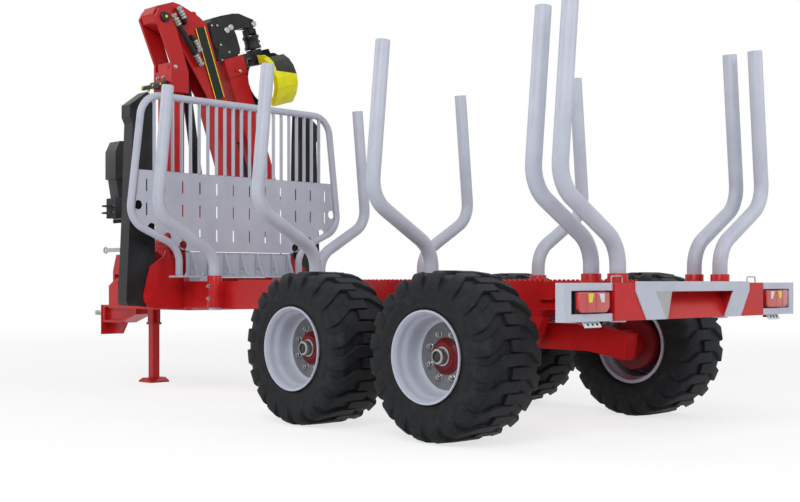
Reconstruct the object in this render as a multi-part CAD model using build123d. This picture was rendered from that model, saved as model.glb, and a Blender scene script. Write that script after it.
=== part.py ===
from build123d import *
import math
import os

# Forestry crane trailer: a two-bogie timber trailer with stakes, a headboard and a folding crane.
# Millimetres. X points forward to the towing eye, Y to the trailer's left, Z up, the floor is Z = 0.
# The origin is on the floor under the middle of the whole length, on the centre plane.

# Driving lengths along the trailer
REAR_REACH = 1648.0
FRONT_REACH = 5220.0
BOGIE_X = (REAR_REACH - FRONT_REACH) / 2
REAR_X = BOGIE_X - REAR_REACH
FRONT_X = BOGIE_X + FRONT_REACH

# Wheels and bogies
WHEEL_BASE = 1230.0
TYRE_R = 510.5
TYRE_W = 500.0
TRACK_Y = 1015.0
TYRE_SEAT_R = 262.0
LUG_COUNT = 20
LUG_PHASE = 80.34
LUG_ROOT_R = 380.0
RIM_LIP_R = 277.0
RIM_WALL = 9.0
RIM_OUT_Y = 250.0
RIM_IN_Y = 178.0
RIM_DISC_Y = 62.0
RIM_DISC_T = 14.0
HUB_BORE_R = 110.0
NUT_CIRCLE_R = 137.5
NUT_COUNT = 8
NUT_AF = 32.0
NUT_H = 22.0
HUB_BARREL_R = 92.0
HUB_CAP_R = 48.0
HUB_CAP_OUT_Y = 146.0
AXLE_R = 45.0
AXLE_FIT = 0.05
DRUM_R = 185.0
ROCKER_IN_Y = 575.0
ROCKER_OUT_Y = 705.0
ROCKER_BOTTOM_Z = 465.0
ROCKER_TOP_Z = 655.0
ROCKER_FLAT = 430.0
ROCKER_END = 735.0
ROCKER_FLANGE = 22.0
ROCKER_RECESS = 14.0
ROCKER_BOSS_R = 80.0
PIVOT_R = 62.0
PIVOT_Z = 590.0
GAP = 5.0
SEAT = 0.3

# Half section of the tyre's casing, open at the beads, from the inner side to the outer
CASING = (
    # across from the tyre's middle, radius
    (-178.0, TYRE_SEAT_R),
    (-178.0, 279.0),
    (-205.0, 289.0),
    (-245.0, 350.0),
    (-245.0, 385.0),
    (-236.0, 440.0),
    (-205.0, 477.0),
    (-120.0, 486.0),
    (120.0, 486.0),
    (205.0, 477.0),
    (236.0, 440.0),
    (245.0, 385.0),
    (245.0, 350.0),
    (235.0, 289.0),
    (230.0, 279.0),
    (216.0, TYRE_SEAT_R),
)
# Section that every lug fills, on one side of the tread and just past its middle
LUG_SECTION = (
    # across from the tyre's middle, radius
    (236.0, 385.0),
    (TYRE_W / 2, 385.0),
    (TYRE_W / 2, 438.0),
    (243.0, 470.0),
    (224.0, 492.0),
    (200.0, 505.0),
    (117.0, TYRE_R),
    (-50.0, TYRE_R),
    (-50.0, 478.0),
    (196.0, 466.0),
    (222.0, 440.0),
)
# Plan of a lug on the flattened tread: a block on the shoulder, a slant and a bar past the middle
LUG_PLAN = (
    # across from the middle, shift round the tyre, half width
    (252.0, 0.0, 46.0),
    (212.0, 7.0, 44.0),
    (116.0, 76.0, 35.0),
    (-45.0, 86.0, 32.0),
)

# Main frame
BEAM_IN_Y = 385.0
BEAM_OUT_Y = 500.0
BEAM_BOTTOM_Z = 735.0
BEAM_TOP_Z = 955.0
BEAM_FRONT = FRONT_REACH - 2100.0
TOOTH_H = 14.0
TOOTH_PITCH = 40.0
TOOTH_START = -900.0
TOOTH_COUNT = 78
TOOTH_T = 12.0
# One tooth of the beam's upper edge
TOOTH_SHAPE = (
    # share of the pitch, rise above the beam
    (0.25, TOOTH_H),
    (0.60, TOOTH_H),
    (0.85, 2.0),
    (1.00, 2.0),
)
CROSS_W = 90.0
CROSS_COUNT = 4
CROSS_BOTTOM_Z = 760.0
CROSS_TOP_Z = 940.0

# Stakes: one leaning S tube a side at each station
STAKE_R = 47.5
STAKE_STATIONS = (FRONT_REACH - 2781.0, 1180.0, 3.0, -1291.0, -1477.0)
STAKE_FOOT_Y = 561.0
STAKE_FOOT_Z = 722.0
STAKE_BEND_LOW_Z = 1170.0
STAKE_KNEE_Y = 1105.0
STAKE_KNEE_Z = 1480.0
STAKE_TOP_Y = 1006.0
STAKE_TOP_Z = 2488.0
STAKE_BEND_R = 210.0
SOCKET_WALL = 12.0
SOCKET_TOP_Z = 1000.0
SOCKET_BOTTOM_Z = 742.0

# Headboard
HEAD_X = FRONT_REACH - 2391.0
HEAD_R = 30.0
HEAD_TOP_Z = 2470.0
HEAD_TOP_Y = 930.0
HEAD_SHOULDER_Y = 1075.0
HEAD_KNEE_Z = 1440.0
HEAD_FOOT_Y = 640.0
HEAD_BEND_Z = 1235.0
HEAD_BASE_Z = 987.0
HEAD_FOOT_Z = HEAD_BASE_Z + 16.0 + SEAT
PLATE_T = 8.0
PLATE_TOP_Z = 1857.0
PLATE_BOTTOM_Z = 1205.0
BAR_PITCH = 88.0
BAR_SIDE_COUNT = 10
BAR_W = 12.0
BAR_D = 32.0
SLOT_PITCH = 173.0
SLOT_COLUMNS = 11
SLOT_W = 16.0
SLOT_H = 104.0
SLOT_ROWS_Z = (1735.0, 1536.0, 1341.0)
SLOT_ROW_COLUMNS = (11, 11, 9)
EDGE_HOLE_R = 38.0
EDGE_HOLES = ((1030.0, 1572.0), (905.0, 1392.0), (755.0, 1318.0), (600.0, 1255.0))
GUSSET_PITCH = 171.0
GUSSET_COUNT = 7
GUSSET_HOLE_BACK = 22.0
GUSSET_HOLE_Z = 1052.0
GUSSET_HOLE_R = 20.0

# Rear bumper and lamps
BUMPER_HALF = 820.0
BUMPER_D = 105.0
BUMPER_BOTTOM_Z = 737.0
BUMPER_TOP_Z = 947.0
TRIM_T = 8.0
RECESS_D = 28.0
LAMP_OUT_Y = 1252.0
LAMP_FRAME_W = 60.0

# Jack
JACK_X = FRONT_REACH - 1020.0
JACK_OUTER = 86.0
JACK_INNER = 74.0
JACK_FOOT = 205.0
JACK_SLEEVE_Z = 545.0
JACK_FOOT_T = 14.0
JACK_HEAD_Z = 1150.0
CRANK_OUT = 60.0
CRANK_ARM_T = 14.0
CRANK_R = 11.0
CRANK_GRIP = 95.0

# Crane base and column
COLUMN_X = FRONT_X - 1310.0
COLUMN_W = 190.0
COLUMN_CHAMFER = 22.0
BASE_BACK = FRONT_REACH - 2265.0
BASE_FRONT = FRONT_REACH - 850.0
BASE_BOTTOM_Z = 705.0
BASE_TOP_Z = 985.0
DRUM_TOP_Z = 1290.0
VALVE_Y = 480.0
VALVE_LOW_Z = 1480.0
VALVE_TOP_Z = 1760.0
VALVE_SECTIONS = 6
SLEW_DRUM_R = 175.0
BASE_CHAMFER = 45.0
BASE_BAYS = 4
BASE_RIB = 26.0
BASE_POCKET = 34.0
RACK_Y = 150.0
RACK_Z = 1120.0
RACK_R = 56.0
RACK_HALF = 330.0
SPIGOT_R = 80.0
SPIGOT_LEN = 110.0
COLUMN_FOOT_Z = 1296.0
COLUMN_TOP_Z = 3030.0
FORK_PLATE = 28.0
FORK_GAP = 236.0
BOOM_PIN_Y = 170.0
BOOM_PIN_Z = 3370.0
BOOM_PIN_R = 32.0
PIN_FIT = 0.05

# Boom and outer boom, folded side by side in the crosswise plane
BOOM_W = 200.0
BOOM_PLATE = 15.0
BOSS_H = 8.0
FOLD_PIN_Y = -950.0
FOLD_PIN_Z = 1400.0
FOLD_PIN_R = 30.0
JIB_W = 190.0
JIB_LEAN = 20.0
JIB_AXIS_Y = -636.0
JIB_AXIS_Z = 3115.0
JIB_DEPTH = 210.0
JIB_LEN = 1500.0
JIB_WALL = 14.0
PAD_LEN = 60.0
TIP_INSIDE = 1150.0
EXT_TRAVEL = 900.0
LIFT_BASE_Y = -350.0
LIFT_BASE_Z = 1600.0
LIFT_EYE_Y = -100.0
LIFT_EYE_Z = 3180.0
JIB_BASE_Y = -734.0
JIB_BASE_Z = 2350.0
JIB_EYE_Y = -1000.0
JIB_EYE_Z = 1570.0
BARREL_START = 62.0
GLAND_STEP = 4.0
GLAND_LEN = 48.0
ROD_R = 27.0
JIB_ROD_R = 22.0
LEG_ROD_R = 18.0
EYE_W = 60.0

# Tip, link, rotator and grapple: the grapple leans out along the folded outer boom
TIP_PIN_Y = -885.0
TIP_PIN_Z = 3482.0
TIP_PIN_R = 20.0
GRAPPLE_LEAN = 17.0
LINK_DROP = 78.0
LINK_CROSS_R = 22.0
ROTATOR_TOP = 112.0
ROTATOR_H = 132.0
ROTATOR_R = 82.0
ROTATOR_SHAFT_R = 28.0
HEAD_TOP = 249.0
HEAD_H = 24.0
HEAD_FLANGE_H = 20.0
HEAD_CROSS_HALF = 70.0
HEAD_PLATE_END = 36.0
JAW_PIN_X = 100.0
JAW_PIN_DROP = 362.0
JAW_PIN_R = 20.0
JAW_REST = 30.0
JAW_RIB_IN = 58.0
JAW_RIB_OUT = 74.0
JAW_SHELL_HALF = 130.0
JAW_EAR_IN = 80.0
JAW_EAR_OUT = 94.0

# Towing eye and hose stand, ahead of the crane base
EYE_REACH = 220.0
EYE_Z = 640.0
EYE_R = 62.0
EYE_BORE_R = 26.0
EYE_H = 46.0
HITCH_PLATE_T = 14.0
HITCH_LOW_Z = 430.0
DRAWBAR_TOP_Z = 722.0
DRAWBAR_LOW_Z = 550.0
DRAWBAR_HALF = 90.0
HOSE_STAND_BACK = 470.0
HOSE_STAND_TOP_Z = 1215.0
HOSE_RAIL_Z = 1265.0
HOSE_HOOK_R = 34.0
HOSE_HOOK_HOLE_R = 20.0
# The drawpin drops into the eye in front of the hook
DRAWPIN_CLEAR = 20.0

JAW_FLANGE_T = 12.0
# Flange along the edges of the shell, with the jaws shut
JAW_FLANGE = (
    # along the trailer, drop below the tip's pin
    (6.0, -831.0),
    (118.0, -808.0),
    (207.0, -759.0),
    (265.0, -687.0),
    (292.0, -600.0),
    (288.0, -521.0),
    (255.0, -443.0),
    (222.0, -458.0),
    (243.0, -530.0),
    (246.0, -597.0),
    (222.0, -664.0),
    (174.0, -722.0),
    (105.0, -763.0),
    (6.0, -788.0),
)

# Stabilisers ahead of the headboard
LEG_X = FRONT_X - 2170.0
LEG_W = 130.0
LEG_PIN_Y = 834.0
LEG_PIN_Z = 800.0
LEG_PIN_R = 24.0
LEG_BASE_Y = 740.0
LEG_BASE_Z = 960.0
LEG_EYE_Y = 895.0
LEG_EYE_Z = 1620.0
BRACKET_T = 14.0

os.makedirs("parts", exist_ok=True)
NODES = {}


def block(x0, x1, y0, y1, z0, z1):
    size = Box(abs(x1 - x0), abs(y1 - y0), abs(z1 - z0))
    return Pos((x0 + x1) / 2, (y0 + y1) / 2, (z0 + z1) / 2) * size


def prism_x(points, x0, x1):
    # A flat plate standing across the trailer: points are (y, z)
    face = make_face(Polyline(*[(x0, y, z) for y, z in points], close=True))
    return extrude(face, amount=x1 - x0, dir=(1, 0, 0))


def prism_y(points, y0, y1):
    # A flat plate standing along the trailer: points are (x, z)
    face = make_face(Polyline(*[(x, y0, z) for x, z in points], close=True))
    return extrude(face, amount=y1 - y0, dir=(0, 1, 0))


def rod_x(y, z, r, x0, x1):
    return Pos((x0 + x1) / 2, y, z) * Rot(0, 90, 0) * Cylinder(r, abs(x1 - x0))


def rod_y(x, z, r, y0, y1):
    return Pos(x, (y0 + y1) / 2, z) * Rot(90, 0, 0) * Cylinder(r, abs(y1 - y0))


def rod_z(x, y, r, z0, z1):
    return Pos(x, y, (z0 + z1) / 2) * Cylinder(r, z1 - z0)


def between(x, p, q, r, start, end):
    # A round bar in the plane at x, along the line from p to q (y, z), from start to end along it
    length = math.hypot(q[0] - p[0], q[1] - p[1])
    uy = (q[0] - p[0]) / length
    uz = (q[1] - p[1]) / length
    plane = Plane(origin=(x, p[0] + uy * start, p[1] + uz * start), z_dir=(0, uy, uz))
    return extrude(plane * Circle(r), amount=end - start)


def pipe(points, radius, bend):
    path = FilletPolyline(*points, radius=bend)
    start = Plane(origin=path @ 0, z_dir=path % 0)
    return sweep(start * Circle(radius), path=path)


def mirror_y(shape):
    return mirror(shape, about=Plane.XZ)


def keep(name, shape):
    NODES[name] = shape


def group(solids):
    return Compound(children=list(solids))


# Wheels
def lug():
    # One lug at the front of the tyre: its plan pushed outwards, cut to the lugs' common section
    leading = [(shift + half, across) for across, shift, half in LUG_PLAN]
    trailing = [(shift - half, across) for across, shift, half in reversed(LUG_PLAN)]
    plane = Plane(origin=(LUG_ROOT_R, 0, 0), x_dir=(0, 0, -1), z_dir=(1, 0, 0))
    plan = plane * make_face(Polyline(*leading, *trailing, close=True))
    section = make_face(Polyline(*[(r, y, 0) for y, r in LUG_SECTION], close=True))
    return extrude(plan, amount=TYRE_R - LUG_ROOT_R + 2, dir=(1, 0, 0)) & revolve(section, axis=Axis.Y)


def tyre():
    casing = revolve(make_face(Polyline(*[(r, y, 0) for y, r in CASING], close=True)), axis=Axis.Y)
    near = lug()
    far = mirror_y(near)
    pitch = 360.0 / LUG_COUNT
    lugs = []
    for index in range(LUG_COUNT):
        lugs.append(Rot(0, LUG_PHASE + index * pitch, 0) * near)
        lugs.append(Rot(0, LUG_PHASE + (index + 0.5) * pitch, 0) * far)
    return casing.fuse(*lugs)


def rim():
    well = TYRE_SEAT_R - SEAT
    section = (
        (RIM_OUT_Y, RIM_LIP_R),
        (RIM_OUT_Y, RIM_LIP_R - 14),
        (RIM_OUT_Y - 40, well - RIM_WALL),
        (150, well - RIM_WALL),
        (140, well - 30),
        (70, well - 34),
        (RIM_DISC_Y, well - 60),
        (RIM_DISC_Y, HUB_BORE_R),
        (RIM_DISC_Y - RIM_DISC_T, HUB_BORE_R),
        (RIM_DISC_Y - RIM_DISC_T, well - 50),
        (40, well - 40),
        (-120, well - 30),
        (-140, well - RIM_WALL),
        (-RIM_IN_Y - 15, well - RIM_WALL),
        (-RIM_IN_Y - 15, RIM_LIP_R),
        (-RIM_IN_Y - 5, RIM_LIP_R),
        (-RIM_IN_Y - 1, well),
        (-130, well),
        (-110, well - 20),
        (130, well - 20),
        (160, well),
        (RIM_OUT_Y - 32, well),
        (RIM_OUT_Y - 16, RIM_LIP_R),
    )
    face = make_face(Polyline(*[(r, y, 0) for y, r in section], close=True))
    return revolve(face, axis=Axis.Y)


def hub():
    # Drum behind the disc, barrel through it, nuts on the disc and a bright cap
    inner = -175.0
    section = (
        (inner, AXLE_R + AXLE_FIT),
        (inner, 120),
        (inner + 14, DRUM_R),
        (20, 150),
        (RIM_DISC_Y - RIM_DISC_T - SEAT, 150),
        (RIM_DISC_Y - RIM_DISC_T - SEAT, HUB_BORE_R - SEAT),
        (RIM_DISC_Y + 6, HUB_BORE_R - SEAT),
        (RIM_DISC_Y + 30, HUB_BARREL_R - 10),
        (RIM_DISC_Y + 30, HUB_CAP_R),
        (HUB_CAP_OUT_Y, HUB_CAP_R),
        (HUB_CAP_OUT_Y, 0),
        (HUB_CAP_OUT_Y - 12, 0),
        (HUB_CAP_OUT_Y - 12, AXLE_R + AXLE_FIT),
    )
    face = make_face(Polyline(*[(r, y, 0) for y, r in section], close=True))
    return revolve(face, axis=Axis.Y)


def nuts():
    nut_y = RIM_DISC_Y + SEAT
    solids = []
    for index in range(NUT_COUNT):
        angle = math.radians(360.0 / NUT_COUNT * (index + 0.5))
        x = NUT_CIRCLE_R * math.cos(angle)
        z = NUT_CIRCLE_R * math.sin(angle)
        plane = Plane(origin=(x, nut_y, z), z_dir=(0, 1, 0))
        solids.append(extrude(plane * RegularPolygon(NUT_AF / 2, 6, major_radius=False), amount=NUT_H))
    return solids


WHEELS = (
    # name, along, side
    ("left_front", 0.5, 1),
    ("left_rear", -0.5, 1),
    ("right_front", 0.5, -1),
    ("right_rear", -0.5, -1),
)


def wheels():
    pieces = (("tyre", tyre()), ("rim", rim()), ("hub", group([hub()] + nuts())))
    for name, along, side in WHEELS:
        place = Pos(BOGIE_X + along * WHEEL_BASE, TRACK_Y, TYRE_R)
        for kind, shape in pieces:
            placed = place * shape
            if side < 0:
                placed = mirror_y(placed)
            keep(kind + "_" + name, placed)


# Bogie rockers with their stub axles
def bogie():
    half = WHEEL_BASE / 2
    beam = prism_y(
        (
            (BOGIE_X - ROCKER_END, 415),
            (BOGIE_X - ROCKER_FLAT, ROCKER_BOTTOM_Z),
            (BOGIE_X + ROCKER_FLAT, ROCKER_BOTTOM_Z),
            (BOGIE_X + ROCKER_END, 415),
            (BOGIE_X + ROCKER_END + 25, 590),
            (BOGIE_X + ROCKER_FLAT, ROCKER_TOP_Z),
            (BOGIE_X - ROCKER_FLAT, ROCKER_TOP_Z),
            (BOGIE_X - ROCKER_END - 25, 590),
        ),
        ROCKER_IN_Y,
        ROCKER_OUT_Y,
    )
    # Flanges stand proud of the web on the outer face, on both sides of the pivot's boss
    shape = beam
    for side in (-1, 1):
        near = BOGIE_X + side * ROCKER_BOSS_R * 1.4
        far = BOGIE_X + side * (ROCKER_FLAT - ROCKER_FLANGE)
        low = ROCKER_BOTTOM_Z + ROCKER_FLANGE
        high = ROCKER_TOP_Z - ROCKER_FLANGE
        shape -= block(near, far, ROCKER_OUT_Y - ROCKER_RECESS, ROCKER_OUT_Y + 1, low, high)
    shape += rod_y(BOGIE_X, PIVOT_Z, ROCKER_BOSS_R, ROCKER_OUT_Y - 1, ROCKER_OUT_Y + 22)
    shape += rod_y(BOGIE_X, PIVOT_Z, ROCKER_BOSS_R * 0.62, ROCKER_OUT_Y + 21, ROCKER_OUT_Y + 30)
    for along in (-half, half):
        axle_end = TRACK_Y + HUB_CAP_OUT_Y - 12 - 1
        shape += rod_y(BOGIE_X + along, TYRE_R, AXLE_R, ROCKER_OUT_Y - 1, axle_end)
        shape += rod_y(BOGIE_X + along, TYRE_R, 105, ROCKER_OUT_Y - 1, TRACK_Y - 175 - GAP)
    return shape


def bogie_pivot():
    shape = rod_y(BOGIE_X, PIVOT_Z, PIVOT_R, -ROCKER_IN_Y, ROCKER_IN_Y)
    for side in (-1, 1):
        middle = side * (BEAM_IN_Y + BEAM_OUT_Y) / 2
        hanger = prism_y(
            (
                (BOGIE_X - 190, BEAM_BOTTOM_Z),
                (BOGIE_X - 70, 510),
                (BOGIE_X + 70, 510),
                (BOGIE_X + 190, BEAM_BOTTOM_Z),
            ),
            middle - 45,
            middle + 45,
        )
        shape += hanger
    return shape


# Frame beams with their toothed upper edge, cross members and stake sockets
def beam(side):
    back = BOGIE_X - REAR_REACH + BUMPER_D
    front = BOGIE_X + BEAM_FRONT
    rail = block(back, front, BEAM_IN_Y, BEAM_OUT_Y, BEAM_BOTTOM_Z, BEAM_TOP_Z)
    start = BOGIE_X + TOOTH_START
    edge = [(start, BEAM_TOP_Z - 1)]
    for index in range(TOOTH_COUNT):
        x = start + index * TOOTH_PITCH
        for share, rise in TOOTH_SHAPE:
            edge.append((x + TOOTH_PITCH * share, BEAM_TOP_Z + rise))
    edge.append((start + TOOTH_COUNT * TOOTH_PITCH, BEAM_TOP_Z - 1))
    shape = rail + prism_y(edge, BEAM_OUT_Y - TOOTH_T, BEAM_OUT_Y)
    for station in STAKE_STATIONS:
        shape += socket(BOGIE_X + station)
    for station in STAKE_STATIONS:
        bore = rod_z(BOGIE_X + station, STAKE_FOOT_Y, STAKE_R + SEAT, SOCKET_BOTTOM_Z - 50, SOCKET_TOP_Z + 50)
        shape -= bore
    return shape if side > 0 else mirror_y(shape)


def frame():
    # The cross members stand between the two beams, each at the foot of a pair of stakes
    solids = [beam(1), beam(-1)]
    wide = BEAM_IN_Y - SEAT
    for station in STAKE_STATIONS[:CROSS_COUNT]:
        x = BOGIE_X + station
        solids.append(block(x - CROSS_W / 2, x + CROSS_W / 2, -wide, wide, CROSS_BOTTOM_Z, CROSS_TOP_Z))
    return group(solids)


def socket(x):
    outer_r = STAKE_R + SOCKET_WALL
    post = rod_z(x, STAKE_FOOT_Y, outer_r, SOCKET_BOTTOM_Z, SOCKET_TOP_Z)
    web = block(x - outer_r, x + outer_r, BEAM_OUT_Y - 5, STAKE_FOOT_Y, SOCKET_BOTTOM_Z, BEAM_TOP_Z)
    return post + web


def stake(x):
    foot_y = STAKE_FOOT_Y
    points = (
        (x, foot_y, STAKE_FOOT_Z),
        (x, foot_y, STAKE_BEND_LOW_Z),
        (x, STAKE_KNEE_Y, STAKE_KNEE_Z),
        (x, STAKE_TOP_Y, STAKE_TOP_Z),
    )
    return pipe(points, STAKE_R, STAKE_BEND_R)


def stakes(side):
    solids = []
    for station in STAKE_STATIONS:
        post = stake(BOGIE_X + station)
        solids.append(post if side > 0 else mirror_y(post))
    return group(solids)


# Headboard
def head_outline():
    x = BOGIE_X + HEAD_X
    half = (
        (x, HEAD_FOOT_Y, HEAD_FOOT_Z),
        (x, HEAD_FOOT_Y, HEAD_BEND_Z),
        (x, HEAD_SHOULDER_Y + 40, HEAD_KNEE_Z),
        (x, HEAD_TOP_Y + 60, HEAD_TOP_Z),
    )
    return half + tuple((px, -py, pz) for px, py, pz in reversed(half))


def headboard_frame():
    loop = pipe(head_outline(), HEAD_R, 190)
    shape = loop
    x = BOGIE_X + HEAD_X
    for index in range(-BAR_SIDE_COUNT, BAR_SIDE_COUNT + 1):
        y = index * BAR_PITCH
        top = HEAD_TOP_Z - 5
        if abs(y) > HEAD_TOP_Y - 120:
            top = HEAD_TOP_Z - 20
        shape += block(x - BAR_D / 2, x + BAR_D / 2, y - BAR_W / 2, y + BAR_W / 2, PLATE_TOP_Z + SEAT, top)
    return shape


def headboard_plate():
    x = BOGIE_X + HEAD_X
    half = (
        (0, PLATE_BOTTOM_Z),
        (560, PLATE_BOTTOM_Z),
        (700, 1272),
        (960, 1372),
        (1060, 1480),
        (1060, 1560),
        (1025, PLATE_TOP_Z),
        (0, PLATE_TOP_Z),
    )
    outline = half[1:7] + tuple((-y, z) for y, z in reversed(half[1:7]))
    shape = prism_x(outline, x - PLATE_T / 2, x + PLATE_T / 2)
    for row_z, columns in zip(SLOT_ROWS_Z, SLOT_ROW_COLUMNS):
        for column in range(columns):
            y = (column - (columns - 1) / 2) * SLOT_PITCH
            shape -= block(x - 20, x + 20, y - SLOT_W / 2, y + SLOT_W / 2, row_z - SLOT_H / 2, row_z + SLOT_H / 2)
    for y, z in EDGE_HOLES:
        for side in (-1, 1):
            shape -= rod_x(side * y, z, EDGE_HOLE_R, x - 20, x + 20)
    loop = pipe(head_outline(), HEAD_R + SEAT, 190)
    return shape - loop


def headboard_foot():
    x = BOGIE_X + HEAD_X
    shape = block(x - 120, x + 60, -700, 700, HEAD_BASE_Z, HEAD_BASE_Z + 16)
    for side in (-1, 1):
        # Seats on the two frame beams
        shape += block(x - 120, x + 60, side * BEAM_IN_Y, side * BEAM_OUT_Y, BEAM_TOP_Z + SEAT, HEAD_BASE_Z + 1)
    for index in range(GUSSET_COUNT):
        y = (index - (GUSSET_COUNT - 1) / 2) * GUSSET_PITCH
        if abs(y) > 560:
            continue
        rib = prism_y(
            ((x - 90, 1003), (x + 10, 1003), (x + 10, 1195), (x - 10, 1195)),
            y - 5,
            y + 5,
        )
        shape += rib - rod_y(x - GUSSET_HOLE_BACK, GUSSET_HOLE_Z, GUSSET_HOLE_R, y - 6, y + 6)
    panel = prism_y(((x + 12, 1003), (x + 22, 1003), (x + 22, 1200), (x + 12, 1200)), -560, 560)
    return shape + panel


# Rear bumper, its pale trim and the lamps
def bumper():
    shape = block(REAR_X + TRIM_T, REAR_X + BUMPER_D - SEAT, -BUMPER_HALF, BUMPER_HALF, BUMPER_BOTTOM_Z, BUMPER_TOP_Z)
    for station in STAKE_STATIONS[3:]:
        for side in (-1, 1):
            outer = STAKE_R + SOCKET_WALL + SEAT
            shape -= rod_z(BOGIE_X + station, side * STAKE_FOOT_Y, outer, 600, 1200)
    # The shallow recess between the trim's legs
    recess = ((-450, 896), (-370, 840), (370, 840), (450, 896))
    return shape - prism_x(recess, REAR_X, REAR_X + TRIM_T + RECESS_D)


def bumper_trim():
    top = block(REAR_X, REAR_X + TRIM_T - SEAT, -627, 627, 897, BUMPER_TOP_Z + 8)
    shape = top
    for side in (-1, 1):
        leg = prism_x(
            (
                (side * 627, 898),
                (side * 430, 898),
                (side * 325, BUMPER_BOTTOM_Z),
                (side * 520, BUMPER_BOTTOM_Z),
            ),
            REAR_X,
            REAR_X + TRIM_T - SEAT,
        )
        shape += leg
    return shape


def lamp_frames():
    solids = []
    for side in (-1, 1):
        y0 = side * (BUMPER_HALF + SEAT)
        y1 = side * LAMP_OUT_Y
        outer = block(REAR_X + 22, REAR_X + 82, y0, y1, BUMPER_BOTTOM_Z + 1, BUMPER_TOP_Z)
        inner = block(REAR_X + 20, REAR_X + 70, side * (BUMPER_HALF - 5), side * (LAMP_OUT_Y - 60), 780, 905)
        solids.append(outer - inner)
    return group(solids)


def lamps():
    solids = []
    for side in (-1, 1):
        solids.append(block(REAR_X + 6, REAR_X + 69.5, side * 862, side * 1150, 785, 900))
    return group(solids)


# Crane base, bolted on the frame ahead of the headboard
def crane_base():
    # A welded bed with stiffened sides, the slewing housing on it and the two rack tubes beside it
    back = BOGIE_X + BASE_BACK
    front = BOGIE_X + BASE_FRONT
    wide = BEAM_IN_Y - SEAT
    bed = prism_y(
        (
            (back, BASE_BOTTOM_Z + BASE_CHAMFER),
            (back + 2 * BASE_CHAMFER, BASE_BOTTOM_Z),
            (front, BASE_BOTTOM_Z),
            (front, BASE_TOP_Z - 1.6 * BASE_CHAMFER),
            (front - 3 * BASE_CHAMFER, BASE_TOP_Z),
            (back, BASE_TOP_Z),
        ),
        -wide,
        wide,
    )
    bay = (front - back - 4 * BASE_CHAMFER) / BASE_BAYS
    for index in range(BASE_BAYS):
        start = back + BASE_CHAMFER + index * bay
        for side in (-1, 1):
            face = side * (wide + 1)
            floor = side * (wide - BASE_POCKET)
            low = BASE_BOTTOM_Z + BASE_CHAMFER
            bed -= block(start, start + bay - BASE_RIB, face, floor, low, BASE_TOP_Z - 28)
    shape = bed + rod_z(COLUMN_X, 0, SLEW_DRUM_R, BASE_TOP_Z - 1, DRUM_TOP_Z)
    shape += rod_z(COLUMN_X, 0, SLEW_DRUM_R + 28, BASE_TOP_Z - 1, BASE_TOP_Z + 22)
    shape += rod_z(COLUMN_X, 0, SLEW_DRUM_R + 14, DRUM_TOP_Z - 34, DRUM_TOP_Z)
    for side in (-1, 1):
        y = side * RACK_Y
        shape += rod_x(y, RACK_Z, RACK_R, COLUMN_X - RACK_HALF, COLUMN_X + RACK_HALF)
        for end in (-1, 1):
            cap = COLUMN_X + end * RACK_HALF
            shape += rod_x(y, RACK_Z, RACK_R + 10, cap - end * 40, cap + end * 12)
    return shape - rod_z(COLUMN_X, 0, SPIGOT_R + PIN_FIT, DRUM_TOP_Z - SPIGOT_LEN - 2, DRUM_TOP_Z + 10)


def stabiliser_brackets():
    shape = None
    outline = (
        (BEAM_OUT_Y + SEAT, 725),
        (600, 722),
        (850, 745),
        (885, 790),
        (892, 842),
        (832, 1078),
        (700, 1160),
        (675, 1215),
        (600, 1160),
        (BEAM_OUT_Y + SEAT, 1040),
    )
    half = LEG_W / 2 + GAP
    rear = prism_x(outline, LEG_X - half - BRACKET_T, LEG_X - half)
    fore = prism_x(outline, LEG_X + half, LEG_X + half + BRACKET_T)
    back = block(LEG_X - half - BRACKET_T, LEG_X + half + BRACKET_T, BEAM_OUT_Y + SEAT, 560, 740, 1000)
    shape = rear + fore + back
    pins = rod_x(LEG_PIN_Y, LEG_PIN_Z, LEG_PIN_R, LEG_X - half - 22, LEG_X + half + 22)
    pins += rod_x(LEG_BASE_Y, LEG_BASE_Z, LEG_PIN_R - 6, LEG_X - half - 22, LEG_X + half + 22)
    shape += pins
    return group([shape, mirror_y(shape)])


# Drawbar with its towing eye, jack and hose stand
def drawbar():
    # A tapered box with channelled sides, the hitch plate on its nose and a gusset under the plate
    back = BOGIE_X + BASE_FRONT + SEAT
    nose = FRONT_X - EYE_REACH
    plate = nose - HITCH_PLATE_T
    body = prism_y(
        (
            (back, DRAWBAR_TOP_Z - 82),
            (plate - 330, DRAWBAR_LOW_Z),
            (plate, DRAWBAR_LOW_Z),
            (plate, DRAWBAR_TOP_Z),
            (back, DRAWBAR_TOP_Z),
        ),
        -DRAWBAR_HALF,
        DRAWBAR_HALF,
    )
    for side in (-1, 1):
        groove = (
            (back + 30, DRAWBAR_TOP_Z - 62),
            (plate - 330, DRAWBAR_LOW_Z + 24),
            (plate - 40, DRAWBAR_LOW_Z + 24),
            (plate - 40, DRAWBAR_TOP_Z - 22),
            (back + 30, DRAWBAR_TOP_Z - 22),
        )
        face = side * (DRAWBAR_HALF + 1)
        floor = side * (DRAWBAR_HALF - 40)
        body -= prism_y(groove, min(face, floor), max(face, floor))
    gusset = (
        (plate + 1, HITCH_LOW_Z + 4),
        (plate - 230, HITCH_LOW_Z + 10),
        (plate - 320, DRAWBAR_LOW_Z + 1),
        (plate + 1, DRAWBAR_LOW_Z + 1),
    )
    hitch = block(plate, nose, -100, 100, HITCH_LOW_Z, DRAWBAR_TOP_Z)
    return body + prism_y(gusset, -9, 9) + hitch


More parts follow.
